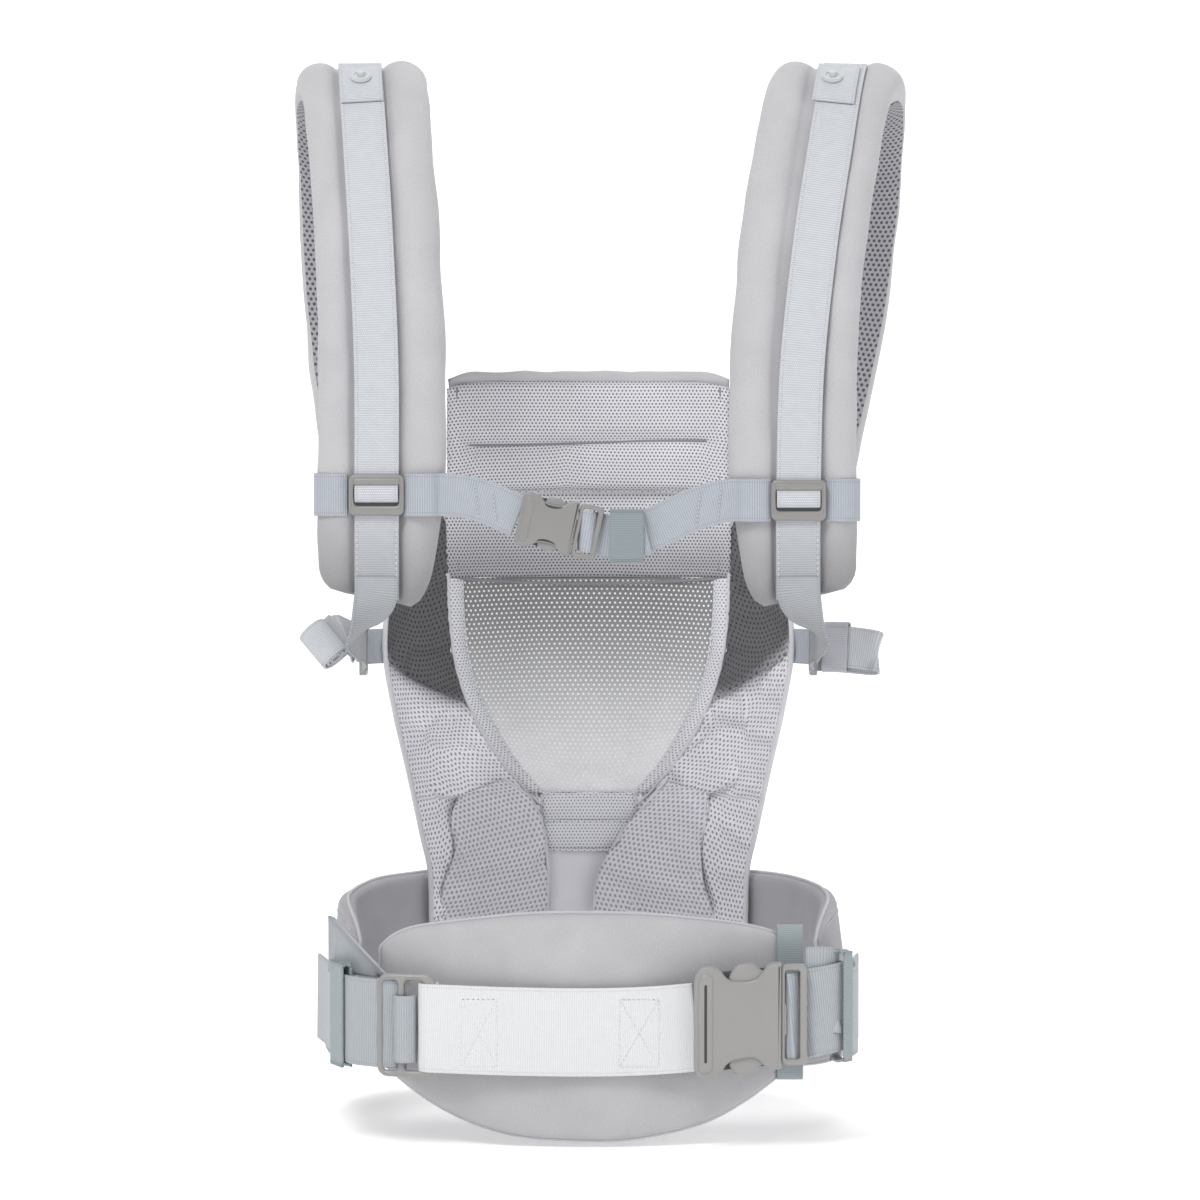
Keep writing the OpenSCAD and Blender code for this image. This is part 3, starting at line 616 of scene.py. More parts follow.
def plate(name, loops, thick, bevel, place, paint):
    """A moulded plate with rounded edges: its outline, then its openings, as (across, up) in millimetres."""
    curve = bpy.data.curves.new(name, "CURVE")
    curve.dimensions = "2D"
    curve.fill_mode = "BOTH"
    curve.extrude = (thick / 2 - bevel) * MM
    curve.bevel_depth = bevel * MM
    curve.bevel_resolution = 3
    curve.offset = -bevel * MM
    for loop in loops:
        spline = curve.splines.new("POLY")
        spline.points.add(len(loop) - 1)
        spline.points.foreach_set("co", [c for x, y in loop for c in (x * MM, y * MM, 0, 1)])
        spline.use_cyclic_u = True
    drawn = bpy.data.objects.new("drawn", curve)
    scene.collection.objects.link(drawn)
    depsgraph = bpy.context.evaluated_depsgraph_get()
    me = bpy.data.meshes.new_from_object(drawn.evaluated_get(depsgraph))
    bpy.data.objects.remove(drawn)
    me.name = name
    b = bmesh.new()
    b.from_mesh(me)
    bmesh.ops.remove_doubles(b, verts=b.verts, dist=1e-6)
    b.to_mesh(me)
    b.free()
    me.transform(place @ Matrix.Rotation(math.pi / 2, 4, "X"))
    me.shade_smooth()
    me.set_sharp_from_angle(angle=math.radians(32))
    me.materials.clear()
    me.materials.append(paint)
    ob = bpy.data.objects.new(name, me)
    scene.collection.objects.link(ob)
    return ob


def at(x, y, z, turn_y=0.0, turn_z=0.0):
    """Placing in millimetres: turned about Y, so that the +X side goes down, then about Z."""
    return (Matrix.Translation(Vector((x, y, z)) * MM) @ Matrix.Rotation(math.radians(turn_z), 4, "Z")
            @ Matrix.Rotation(math.radians(turn_y), 4, "Y"))


def box_loop(x, y, r, cx=0.0, cy=0.0, slope=0.0):
    """A rectangle x by y with round corners r round (cx, cy), sheared upwards by slope."""
    out = []
    for k, (sx, sy) in enumerate(((1, 1), (-1, 1), (-1, -1), (1, -1))):
        for q in np.linspace(0, math.pi / 2, 5):
            a = k * math.pi / 2 + q
            across = sx * (x / 2 - r) + r * math.cos(a)
            out.append((across + cx, sy * (y / 2 - r) + r * math.sin(a) + cy + slope * across))
    return out


def round_section(r, n=8):
    """Section of a cord."""
    q = np.linspace(0, 2 * math.pi, n + 1)[:-1]
    return np.stack([np.cos(q), np.sin(q)], 1) * r


def ring_band(name, centre, up, out, half_up, half_out, along, wide, paint, thick=1.2):
    """A band right round something: its loop lies in the plane of up and out, its width along along."""
    centre, up, out = (np.asarray(v, float) for v in (centre, unit(up), unit(out)))
    r = min(half_out * 0.9, 4)
    loop = box_loop(2 * half_up, 2 * half_out, r)
    path = np.array([centre + up * x + out * y for x, y in loop])
    path = smooth(path, 2, closed=True)
    path = np.concatenate([path, path[:3]])
    return swept(name, path, along, band(wide, thick, 5), paint)


# ---------------------------------------------------------------- shoulder straps

strap_out = 118
strap_y = [-124, -124, -124, -120, -105, -78, -42, -5, 29, 57, 78, 90, 95, 93]
strap_z = [241, 300, 372, 440, 490, 522, 534, 527, 503, 464, 410, 352, 302, 268]
lean = {
    "left": [0, 0, 0, 3, 7, 11, 14, 16, 17, 17, 16, 12, 6, -2],
    "right": [0, 0, 0, 6, 14, 21, 27, 30, 31, 30, 25, 16, 7, -2],
}
strap_turn = [0, 0, 0, 0, 0, 0, 0, 0, 0, 4, 10, 20, 32, 42]
STEP = 12
rail_off = 14
SIDES = {"left": -1, "right": 1}


def strap_route(side):
    s = SIDES[side]
    return smooth([[s * (strap_out + lean[side][i]), strap_y[i], strap_z[i]] for i in range(14)], STEP)


def strap_width(side):
    turn = np.radians(smooth(strap_turn, STEP).reshape(-1))
    return np.stack([np.cos(turn), -SIDES[side] * np.sin(turn), 0 * turn], 1)


# The pad's section, right half: across, outwards where the rail is sewn down, outwards further on
pad_top = [(0, 10, 12), (7, 10, 12), (13.4, 10.3, 11.6), (16.5, 12.6, 11.4), (21.5, 14.6, 11), (27.5, 14.4, 10),
           (33, 11.6, 8), (36.8, 6.8, 5), (38.2, 0.5, 0.5), (37, -5.5, -5.5)]
pad_under = [(31, -9.3), (16, -10.4), (0, -10.7)]


def pad_section(valley):
    right = [(x, a * valley + b * (1 - valley)) for x, a, b in pad_top] + pad_under
    left = [(-x, y) for x, y in reversed(right[1:-1])]
    return smooth(right + left, 3, closed=True)


def wrapped(shape, outer, angle):
    """The section with its outer lobe bent back round the body, by angle at its edge."""
    if angle < 0.02:
        return shape
    start, reach, neutral = 13.0, 25.0, 9.0
    radius = reach / angle
    x, y = shape[:, 0] * outer, shape[:, 1]
    d = np.maximum(x - start, 0)
    arm = radius + y - neutral
    bent_x = start + arm * np.sin(d / radius)
    bent_y = neutral - radius + arm * np.cos(d / radius)
    return np.stack([np.where(d > 0, bent_x, x) * outer, np.where(d > 0, bent_y, y)], 1)


pads = {}
PAD_EDGE = 3 * 9        # ring point at the pad's right edge, from the middle of its top


def strap_pad(side):
    """The padded strap from its lower end up the back, over the shoulder and down to the panel."""
    s = SIDES[side]
    bends = smooth([0.8, 0.8, 0.8, 1.25, 1.25, 0.9, 0.25, 0, 0, 0, 0, 0, 0, 0], STEP).reshape(-1)
    path, w = strap_route(side), strap_width(side)
    along = lengths(path)
    sections = []
    for i in range(len(path)):
        valley = 1 - np.clip((i / STEP * 3 - 17.5) / 5, 0, 1)
        shape = pad_section(valley)
        near = np.clip(along[i] / 17, 0, 1)
        far = np.clip((along[-1] - along[i]) / 12, 0, 1)
        near, far = (math.sqrt(1 - (1 - k) ** 2) for k in (near, far))
        shape = shape * [0.58 + 0.42 * near, 0.35 + 0.65 * near]
        shape = shape * [1, 0.5 + 0.5 * far]
        foot = np.clip((306 - path[i, 2]) / 62, 0, 1) * (i < 3 * STEP)
        inner = np.maximum(-shape[:, 0] * s - 13, 0) * s
        shape[:, 0] += inner * 0.40 * foot ** 1.1
        sections.append(wrapped(shape, s, max(0, bends[i])))
    pad = swept("strap_pad_" + side, path, w, sections, strap_fabric)
    n = len(sections[0])
    ring = np.arange(len(path) * n) % n
    row = np.arange(len(path) * n) // n
    rail_seam = 7
    right_edge, left_edge = PAD_EDGE, n - PAD_EDGE
    fixed = (np.abs(ring - right_edge) <= 1) | (np.abs(ring - left_edge) <= 1)
    fixed |= ((ring <= rail_seam) | (ring >= n - rail_seam)) & (row <= 6.2 * STEP)
    fixed |= (row < 2) | (row > len(path) - 3)
    stuff(pad, np.nonzero(fixed)[0], 5.0, 3.0, 14)
    ripple(pad, 1.0, 24, 3.0 * s)
    co = co_of(pad).reshape(len(path), n, 3)
    skew = np.clip(1 - along / 60, 0, 1)[:, None] * s * sections[len(sections) // 2][:, 0][None] * 0.11
    co[..., 2] += skew * MM
    set_co(pad, co.reshape(-1, 3))
    put(pad, "carrier", "fabric", "strap_cover_" + side, "strap_foam_" + side)

    # The mesh lining follows the filled pad's body side
    co = co_of(pad).reshape(len(path), n, 3) / MM
    t, a, out = frames(path, w)
    pads[side] = (path, a, out, co)
    under = np.arange(PAD_EDGE + 1, n - PAD_EDGE)
    grid = co[2:-2, under]
    centre = path[2:-2, None]
    grid = grid + unit(grid - centre) * 0.75
    flat_uv = np.empty(grid.shape[:2] + (2,))
    flat_uv[..., 0] = ((grid - centre) * a[2:-2, None]).sum(2)
    flat_uv[..., 1] = along[2:-2, None]
    lining = shell("strap_lining_mesh_" + side, grid, 1.0, underside, flat_uv)
    put(lining, "carrier", "fine_mesh", "strap_lining_" + side)

    # Two rows of stitches hold the far end to the panel
    for row in (2, 3):
        line = co[-row, np.arange(-16, 17)] + out[-row] * 0.4
        sew("strap_end_stitches_%s_%d" % (side, row - 1), line, out[-row], 3.6, 2.2)


def strap_trim(side):
    """The rail webbing down the middle of a strap, with its two seams."""
    path, w = strap_route(side), strap_width(side)
    t, a, out = frames(path, w)
    last = 17 * STEP // 3
    drift = smooth([0, 0, 2, 3.5, 4.5, 5, 5, 5], STEP)[:last + 1, None] * (side == "right")
    rail_path = path[:last + 1] + out[:last + 1] * rail_off + a[:last + 1] * drift
    rail = swept("rail_" + side, rail_path, w[:last + 1], band(25, 1.6), low_rail_web)
    put(rail, "carrier", "webbing", "rail_webbing_" + side)
    for k, edge in enumerate((-1, 1)):
        line = rail_path + a[:last + 1] * edge * 10.9 + out[:last + 1] * 0.75
        sew("rail_stitches_%s_%d" % (side, k + 1), line, out[:last + 1], slot="webbing")


# Where a row of stitches across narrow webbing has its points
stitch_row = np.linspace(-10.5, 10.5, 8)


def snap_tabs():
    """The tabs that hold the snap studs, on top of the straps."""
    for side in SIDES:
        path, w = strap_route(side), strap_width(side)
        t, a, out = frames(path, w)
        lo, hi = 14 * STEP // 3 - 1, 16 * STEP // 3 + 2
        route = path[lo:hi] + out[lo:hi] * (rail_off + 2.2) + a[lo:hi] * (2.5 if side == "right" else 0)
        tab = swept("snap_tab_" + side, route, w[lo:hi], band(24, 1.4), rail_web)
        put(tab, "carrier", "webbing")
        for row in (1, len(route) - 2):
            line = np.array([route[row] + a[lo + row] * x + out[lo + row] * 0.7 for x in stitch_row])
            sew("snap_tab_stitches_%s_%d" % (side, row), line, out[lo + row], slot="webbing")
    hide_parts("snap_tabs")


for side in SIDES:
    strap_pad(side)
    strap_trim(side)
snap_tabs()


# ---------------------------------------------------------------- panel

# Heights: the foot, the bottom and top of the window, and the fold line of the head support
FOOT, WINDOW_LOW, WINDOW_TOP, FOLD = 12, 111, 244, 298
BASE_HALF, UPPER_HALF = 28.5, 87


def by_height(*rows):
    """A function of height that goes straight between its rows (height, value)."""
    heights, values = zip(*rows)
    return lambda z: np.interp(z, heights, values)


# Depth of the panel in its middle and at its edge, and its half width; then the half width of its window
middle_y = by_height((28, 111), (68, 112), (110, 118), (150, 121), (200, 120), (WINDOW_TOP, 116),
                     (FOLD, 111), (371, 106))
edge_y = by_height((28, 77), (68, 76), (110, 70), (150, 60), (203, 50), (258, 66), (FOLD, 76), (371, 74))
panel_half = by_height((28, 96), (66, 97), (90, 102), (130, 110), (168, 118), (203, 123), (235, 121),
                       (258, 116))
window_half = by_height((110, 28), (120, 36), (132, 46), (145, 54), (170, 67), (200, 75), (WINDOW_TOP, 77))


def belt_face(x, z=0.0):
    """How far back cloth can lie in front of the belt's padding; above the belt it is free."""
    deep, half, top = 113, 139, 66
    return deep * np.sqrt(np.clip(1 - (x / half) ** 2, 0, 1)) + 2 * np.maximum(z - top, 0)


def panel_y(x, z):
    """Depth of the panel; its foot curves back to the belt's inner face, where it is sewn on."""
    y = middle_y(z) - (middle_y(z) - edge_y(z)) * (x / panel_half(z)) ** 2
    share = np.clip((50 - z) / 36, 0, 1)
    return y + (belt_face(x) - y) * share * share * (3 - 2 * share)


def panel_grid(x0, x1, z0, z1, across, up, push=0.0):
    """Points of the panel between two edges, which are numbers or functions of height."""
    z = np.linspace(z0, z1, up + 1)
    lo = x0(z) if callable(x0) else np.full(len(z), float(x0))
    hi = x1(z) if callable(x1) else np.full(len(z), float(x1))
    share = np.linspace(0, 1, across + 1)
    x = lo[:, None] + (hi - lo)[:, None] * share
    zz = np.repeat(z[:, None], across + 1, 1)
    return np.stack([x, panel_y(x, zz) + push, zz], 2)


def grid_sheet(name, grid, paint):
    """A single layer of cloth, ready for simulation."""
    m, n = grid.shape[:2]
    faces = [(i * n + j, i * n + j + 1, (i + 1) * n + j + 1, (i + 1) * n + j)
             for i in range(m - 1) for j in range(n - 1)]
    ob = make(name, grid, faces, grid_uv(grid), paint)
    rim = [i * n + j for i in range(m) for j in range(n) if i in (0, m - 1) or j in (0, n - 1)]
    return ob, rim


def loosened(grid, pressure, cap, grow):
    """The grid after its cloth has been let out by a share of grow, with its rim sewn down."""
    ob, rim = grid_sheet("loose", grid, fabric)
    stuff(ob, rim, pressure, cap, 16, grow)
    out = co_of(ob).reshape(grid.shape) / MM
    bpy.data.objects.remove(ob)
    out[..., 1] = np.minimum(out[..., 1], belt_face(out[..., 0], out[..., 2]))
    return out


def panel_sheet(name, grid, paint, slot, *nodes, thick=2.0):
    """A stretched sheet of the panel, whose flat size is measured along its grid."""
    uv = grid_uv(grid)
    piece = put(shell(name, grid, thick, paint, uv), "carrier", slot, *nodes)


def centre_panel():
    """The window with its border, the mesh above it, and the bands and patch below it."""
    border_wide, seam_gap = 8, 0.5
    grid = panel_grid(lambda z: -window_half(z), window_half, WINDOW_LOW, WINDOW_TOP, 40, 34)
    panel_sheet("window_mesh", loosened(grid, -1.5, 3.0, 0.01), window, "window_mesh", "centre_mesh")
    edge = lambda z: np.minimum(window_half(z) + seam_gap + border_wide, panel_half(z))
    inner = lambda z: window_half(z) + seam_gap
    for side, s in SIDES.items():
        lo, hi = (inner, edge) if s > 0 else (lambda z: -edge(z), lambda z: -inner(z))
        grid = panel_grid(lo, hi, WINDOW_LOW, WINDOW_TOP, 6, 40)
        grid[:, 1:-1, 1] -= 1.6 * np.sin(np.linspace(0, math.pi, 7))[1:-1]
        nodes = ["centre_mesh_border"] if s < 0 else []
        panel_sheet("window_border_" + side, grid, border, "fabric", *nodes, thick=2.2)
    grid = panel_grid(-UPPER_HALF, UPPER_HALF, WINDOW_TOP + 0.5, FOLD - 0.5, 44, 14)
    grid[..., 1] -= 2.6 * np.abs(np.sin(np.linspace(0, math.pi, 15)))[:, None] ** 0.7
    panel_sheet("upper_mesh", loosened(grid, -1.0, 2.0, 0.01), neck_mesh, "fine_mesh", "upper_panel")
    for k, (z0, z1) in enumerate(((76.5, 93.5), (94, 110))):
        grid = panel_grid(-BASE_HALF, BASE_HALF, z0, z1, 20, 8)
        grid[..., 1] -= 1.5 * np.sin(np.linspace(0, math.pi, 9))[:, None]
        nodes = [] if k else ["lower_mesh_bands"]
        panel_sheet("lower_band_%d" % (k + 1), grid, border, "fine_mesh", *nodes)
    grid = panel_grid(-BASE_HALF, BASE_HALF, FOOT, 76, 20, 20)
    panel_sheet("base_patch_cloth", loosened(grid, -1.0, 2.0, 0.015), patch_fabric, "fabric", "base_patch")


def side_inner(z):
    """Inner edge of a thigh panel: beside the base patch, then the window's border, then the upper mesh."""
    above = np.where(z < WINDOW_TOP, window_half(z) + 9.5, UPPER_HALF - 1.5)
    return np.where(z < WINDOW_LOW - 1, BASE_HALF + 1, above)


def dome(m, n, up, across):
    """A grid that is 0 at its rim and 1 in its middle; low powers keep it flat in between."""
    rise = [np.sin(np.linspace(0, math.pi, k)) for k in (m, n)]
    return rise[1][None] ** across * rise[0][:, None] ** up


# Folds of each thigh panel: points (across, up), height, reach; the raised side is on the left of the line
thigh_folds = {
    "left": [
        ([(-122, 200), (-104, 186), (-88, 177), (-70, 168)], -9, 16),
        ([(-100, 150), (-88, 141), (-72, 140), (-58, 136)], 5, 12),
        ([(-96, 118), (-84, 112), (-60, 112), (-34, 108)], -7, 18),
        ([(-104, 40), (-90, 58), (-82, 78), (-84, 100)], -4, 14),
    ],
    "right": [
        ([(70, 168), (86, 178), (104, 190), (122, 206)], -9, 16),
        ([(46, 128), (62, 138), (80, 150), (96, 152)], 5, 12),
        ([(36, 100), (52, 110), (72, 114), (92, 122)], -7, 18),
        ([(72, 100), (70, 76), (74, 54), (84, 36)], -4, 14),
    ],
}


def thigh_panel(side):
    """The side panel of open mesh, from the belt up to the shoulder strap, with its folds."""
    s = SIDES[side]
    lo, hi = (side_inner, panel_half) if s > 0 else (lambda z: -panel_half(z), lambda z: -side_inner(z))
    grid = panel_grid(lo, hi, FOOT, FOLD, 40, 114)
    push = 0
    for line, height, reach in thigh_folds[side]:
        push = push + fold_edge(grid[..., 0], grid[..., 2], line, height, reach)
    grid[..., 1] += push * dome(*grid.shape[:2], 0.35, 0.5)
    grid = loosened(grid, -1.2, 5.0, 0.035)
    panel_sheet("thigh_mesh_" + side, grid, thigh[side], "side_mesh", "side_panel_" + side, thick=2.2)


# The padded fold at the foot of each thigh panel: its inner edge, then its outer edge, from the top down
seat_folds = {
    "left": ([(-52, 121), (-36, 108), (-28, 90), (-25, 64), (-26, 28)],
             [(-80, 112), (-84, 98), (-82, 78), (-88, 58), (-94, 28)]),
    "right": ([(48, 120), (34, 103), (19, 84), (6, 60), (2, 28)],
              [(74, 112), (73, 98), (70, 78), (72, 56), (80, 28)]),
}


def seat_fold(side):
    """The soft padded fold that a thigh panel makes above the belt, with a corded edge."""
    inner, outer = (smooth(line, 8) for line in seat_folds[side])
    if side == "left":
        inner, outer = outer, inner
    share = warped(29, 0.5)[None, :, None] / 2 + 0.5
    xz = inner[:, None] * (1 - share) + outer[:, None] * share
    sunk = share if side == "right" else 1 - share
    depth = panel_y(xz[..., 0], xz[..., 1]) - 6.0 + 5.5 * sunk[..., 0] ** 3
    middle = np.stack([xz[..., 0], depth, xz[..., 1]], 2)[::-1]
    pad = pad_between("seat_fold_" + side, middle, np.array([0, -1, 0]), 3.6, 3, seat_mesh)
    stuff(pad, pad["rim"], 3.5, 5.5, 16, 0.03)
    ripple(pad, 1.6, 22, 17.0 if side == "left" else 23.0)
    put(pad, "carrier", "side_mesh")
    edge = middle[:, -1 if side == "left" else 0]
    t = np.gradient(edge, axis=0)
    put(swept("seat_fold_piping_" + side, edge + [0, -0.6, 0], unit(np.cross(t, [0, 1, 0])), round_section(1.0),
              piping), "carrier", "fabric")


def seam_tape(name, xz, wide, thick, paint=None, push=0.0, body="carrier", slot="fabric"):
    """A narrow bound seam on the panel, through points (across, up)."""
    line = smooth(xz, 6)
    path = np.stack([line[:, 0], panel_y(line[:, 0], line[:, 1]) + push, line[:, 1]], 1)
    t = np.gradient(path, axis=0)
    w = unit(np.cross(t, [0, 1, 0]))
    put(swept(name, path, w, round_section(1, 12) * [wide / 2, thick / 2], paint or border), body, slot)


def panel_seams():
    """Every bound edge and seam of the panel."""
    heights = [244, 215, 185, 160, 143, 128, 117, 111]
    for side, s in SIDES.items():
        outer = [(s * (window_half(z) + 8.8), z) for z in heights]
        inner = [(s * (window_half(z) + 0.3), z) for z in heights]
        seam_tape("window_seam_outer_" + side, [(s * 86, 262)] + outer + [(s * 30, 104)], 2.6, 4.0, piping)
        seam_tape("window_seam_inner_" + side, inner, 1.8, 3.6)
        seam_tape("band_seam_" + side, [(s * 29, 110), (s * 29, 70), (s * 29, 13)], 2.4, 3.6, piping)
        seam_tape("edge_binding_" + side, [(s * (panel_half(z) - 0.4), z) for z in
                  (297, 258, 235, 203, 168, 130, 90, 66, 40, 13)], 3.2, 3.8, piping)
        seam_tape("upper_edge_" + side, [(s * UPPER_HALF, z) for z in (297, 270, 246)], 3.4, 3.8)
        # The upper seams are tapes of painted shadow.
        seam_tape("upper_seam_" + side, [(s * 80, 297), (s * 80, 270), (s * 79.5, 249)], 1.4, 5.4, seam_shade)
    xs = np.linspace(-80, 80, 9)
    # The window's top seam is a tape of painted shadow, under the upper mesh's edge.
    seam_tape("window_top_seam", [(x, 244.2 - 4 * (1 - (x / 80) ** 2)) for x in xs], 2.0, 4.2, seam_shade)
    for k, z in enumerate((110.4, 93.8, 76.2)):
        seam_tape("band_seam_%d" % (k + 1), [(-29, z), (-10, z - 0.8), (10, z - 0.8), (29, z)], 2.2, 3.4)
    seam_tape("foot_seam", [(x * 1.17, 12.5) for x in xs], 3.0, 5.0, piping, 0.5)
    seam_tape("fold_seam", [(x, 298.2) for x in xs * 1.09], 4.4, 3.6, border)
    line = smooth([(x, 296.6) for x in xs * 0.55], 6)
    line = np.stack([line[:, 0], panel_y(line[:, 0], line[:, 1]) - 4.1, line[:, 1]], 1)
    sew("fold_stitches", line, (0, -1, 0), 3.4, 1.6, 0.45)


def fold_edge(x, z, line, height, reach, lip=2.4):
    """Height of a fold at each point: steep along its line, then falling away on the line's left side."""
    p = smooth(line, 6)
    a, d = p[:-1], p[1:] - p[:-1]
    q = np.stack([x.ravel(), z.ravel()], 1)[:, None]
    share = np.clip(((q - a) * d).sum(2) / (d * d).sum(1), 0, 1)
    near = a + d * share[..., None]
    gap = np.linalg.norm(q - near, axis=2)
    best = gap.argmin(1)
    rows = np.arange(len(best))
    gap = gap[rows, best]
    v = q[:, 0] - a[best]
    side = np.sign(d[best, 0] * v[:, 1] - d[best, 1] * v[:, 0])
    total = (best + share[rows, best]) / len(d)
    fade = np.clip(np.sin(math.pi * np.clip(total, 0.0, 1.0)), 0, 1) ** 0.5
    rise = np.where(side > 0, np.exp(-(gap / reach) ** 1.5), np.clip(1 - gap / lip, 0, 1))
    return (height * fade * rise).reshape(x.shape)


centre_panel()
for side in SIDES:
    thigh_panel(side)
panel_seams()


# ---------------------------------------------------------------- padded pieces

def warped(n, share):
    """n numbers from -1 to 1, closer together at both ends."""
    t = np.linspace(-1, 1, n)
    return t * (1 - share) + np.sin(t * math.pi / 2) * share


def pad_between(name, middle, nrm, half, power, paint):
    """A closed pad, half millimetres to either side of a grid; a higher power makes its edges boxier."""
    m, n = middle.shape[:2]
    i, j = np.abs(np.linspace(-1, 1, m))[:, None], np.abs(np.linspace(-1, 1, n))[None]
    profile = (np.sqrt(1 - i ** power) * np.sqrt(1 - j ** power))[..., None]
    return pillow(name, middle + nrm * half * profile, middle - nrm * half * profile, paint)


def rim_piping(name, face, r=1.1):
    """A corded seam right round the edge of a pad."""
    edge = np.concatenate([face[:-1, 0], face[-1, :-1], face[:0:-1, -1], face[0, :0:-1]])
    edge = np.concatenate([edge, edge[:2]])
    across = unit(edge - face.mean((0, 1)))
    put(swept(name, edge, across, round_section(r), trim), "carrier", "fabric")


def belt():
    """The padded waist belt, open at the wearer's back, with deep sides that narrow towards its ends."""
    half, deep, reach, wing_start = 151, 124, 114, 40
    a = warped(91, 0.15) * math.radians(reach)
    wing = np.maximum(0, (np.abs(np.degrees(a)) - wing_start) / (reach - wing_start))
    lo, hi = -55 + 38 * wing ** 1.5 + 9 * wing ** 14, 65 - 12 * wing ** 2 - 14 * wing ** 14
    b = warped(25, 0.7)
    z = (lo + hi)[:, None] / 2 + (hi - lo)[:, None] / 2 * b
    nrm = unit(np.stack([np.sin(a) / half, np.cos(a) / deep, 0 * a], 1))[:, None] + 0 * z[..., None]
    flare = 1 - 0.065 * np.clip((z + 10) / 75, 0, 1)
    middle = np.stack([half * np.sin(a)[:, None] * flare, deep * np.cos(a)[:, None] + 0 * z, z], 2)
    pad = pad_between("belt_pad", middle, nrm, 6.2, 9, belt_fabric)
    stuff(pad, pad["rim"], 3.0, 2.0, 14)
    ripple(pad, 1.0, 34, 7.0)
    put(pad, "carrier", "fabric", "belt_outer_cover", "belt_inner_cover", "belt_foam")
    face = co_of(pad)[:len(a) * len(b)].reshape(len(a), len(b), 3) / MM
    for name, column in (("top", len(b) - 4), ("bottom", 3)):
        line = face[2:-2, column] + nrm[2:-2, column] * 0.25
        sew("belt_stitches_" + name, line, nrm[2:-2, column], 3.6, 2.3)
    rim_piping("belt_piping", face)


def lumbar():
    """The shield-shaped pad at the small of the back."""
    half, bend = 118, 26
    x = warped(57, 0.3) * half
    lo, hi = -65 + 42 * (np.abs(x) / half) ** 2.6, 64 - 14 * (x / half) ** 2 - 9 * (x / half) ** 14
    b = warped(31, 0.6)
    z = (lo + hi)[:, None] / 2 + (hi - lo)[:, None] / 2 * b
    y = -128 + bend * (x / half) ** 2
    nrm = unit(np.stack([2 * bend * x / half ** 2, -1 + 0 * x, 0 * x], 1))[:, None] + 0 * z[..., None]
    middle = np.stack([x[:, None] + 0 * z, y[:, None] + 0 * z, z], 2)
    pad = pad_between("lumbar_pad", middle, nrm, 6.0, 7, fabric)
    stuff(pad, pad["rim"], 3.0, 2.2, 14)
    ripple(pad, 0.8, 40, 11.0)
    put(pad, "carrier", "fabric", "lumbar_cover", "lumbar_foam", "lumbar_lining")
    rim_piping("lumbar_piping", co_of(pad)[:len(x) * len(b)].reshape(len(x), len(b), 3) / MM)


HEAD_HALF = 86


def head_grid(x, z, droop, forward=0.0):
    """Points of the head support at each x and z, in the panel's line; its corners droop."""
    xx, zz = np.meshgrid(x, z)
    zz = zz - droop * (xx / HEAD_HALF) ** 8 * ((zz - z[0]) / (z[-1] - z[0]))
    return np.stack([xx, panel_y(xx, zz) - forward, zz], 2)


def head_support():
    """The folding head support: a padded back, a quilted mesh face, seams and a binding on top."""
    outwards, height, line = np.array([0, 1, 0]), 63, 327
    middle = head_grid(warped(49, 0.3) * (HEAD_HALF - 1), 300 + (warped(21, 0.4) + 1) / 2 * height, 4)
    pad = pad_between("head_pad", middle, outwards, 3.6, 8, fabric)
    stuff(pad, pad["rim"], 2.5, 1.5, 12)
    put(pad, "head_support", "fabric", "head_support_outer", "head_support_foam")

    # The mesh face is quilted along one line, which stops short of both ends
    grid = head_grid(np.linspace(-HEAD_HALF, HEAD_HALF, 49), np.linspace(299, 364, 27), 4, 4.6)
    x, z = grid[..., 0], grid[..., 2]
    quilted = np.minimum(1, np.abs(z - line - 1.5 * np.sin(x / 40)) / 9) ** 0.6
    ends = np.clip((79 - np.abs(x)) / 9, 0, 1)
    quilted = quilted * ends + 1 - ends
    grid[..., 1] -= 6.4 * quilted * dome(27, 49, 0.35, 0.3)
    mesh = put(shell("head_mesh", grid, 1.6, head_mesh), "head_support", "fine_mesh", "head_support_inner")
    quilt_line = [(x, line + 1.5 * math.sin(x / 40)) for x in np.linspace(-78, 72, 9)]
    top = [(x, 361.5 - 3 * (x / HEAD_HALF) ** 8) for x in np.linspace(-84, 84, 13)]
    # The quilt seam and the two side seams are tapes of painted shadow along these seam lines.
    for name, xz, wide, paint, forward in (
            ("quilt_seam", quilt_line, 1.5, seam_shade, 6.9),
            ("head_seam_left", [(-80, 361), (-80.5, 330), (-80, 300)], 1.2, seam_shade, 7.0),
            ("head_seam_right", [(80, 361), (80.5, 330), (80, 300)], 1.2, seam_shade, 7.0),
            ("head_top_seam", top, 2.2, border, 5.4)):
        seam_tape(name, xz, wide, 1.6, paint, -forward, "head_support", "fine_mesh")

    xx, zz = np.meshgrid(np.linspace(-HEAD_HALF, HEAD_HALF, 61), np.linspace(361, 371, 9))
    zz = zz - 5 * (xx / HEAD_HALF) ** 8
    middle = np.stack([xx, panel_y(xx, zz), zz], 2)
    binding = pad_between("head_binding", middle, outwards, 4.6, 4, trim)
    ripple(binding, 1.2, 16, 5.0)
    put(binding, "head_support", "fabric", "head_support_binding")


belt()
lumbar()
head_support()
for side in SIDES:
    seat_fold(side)


# ---------------------------------------------------------------- waist webbing

UP = (0, 0, 1)
WIDE, NARROW = 50, 24       # the two webbings

# The white webbing turns round the glide's right bar and comes back across the front
white_front = [[-84, -137.3, -0.3], [-45, -138.4, -1.6], [0, -138.8, -2.2], [35, -138.9, -1.2], [61, -140, 1]]
white_route = [[-84, -129.5, 0], [-91, -130.4, 0], [-94.6, -133.4, 0], [-91.5, -136.6, 0]] + white_front


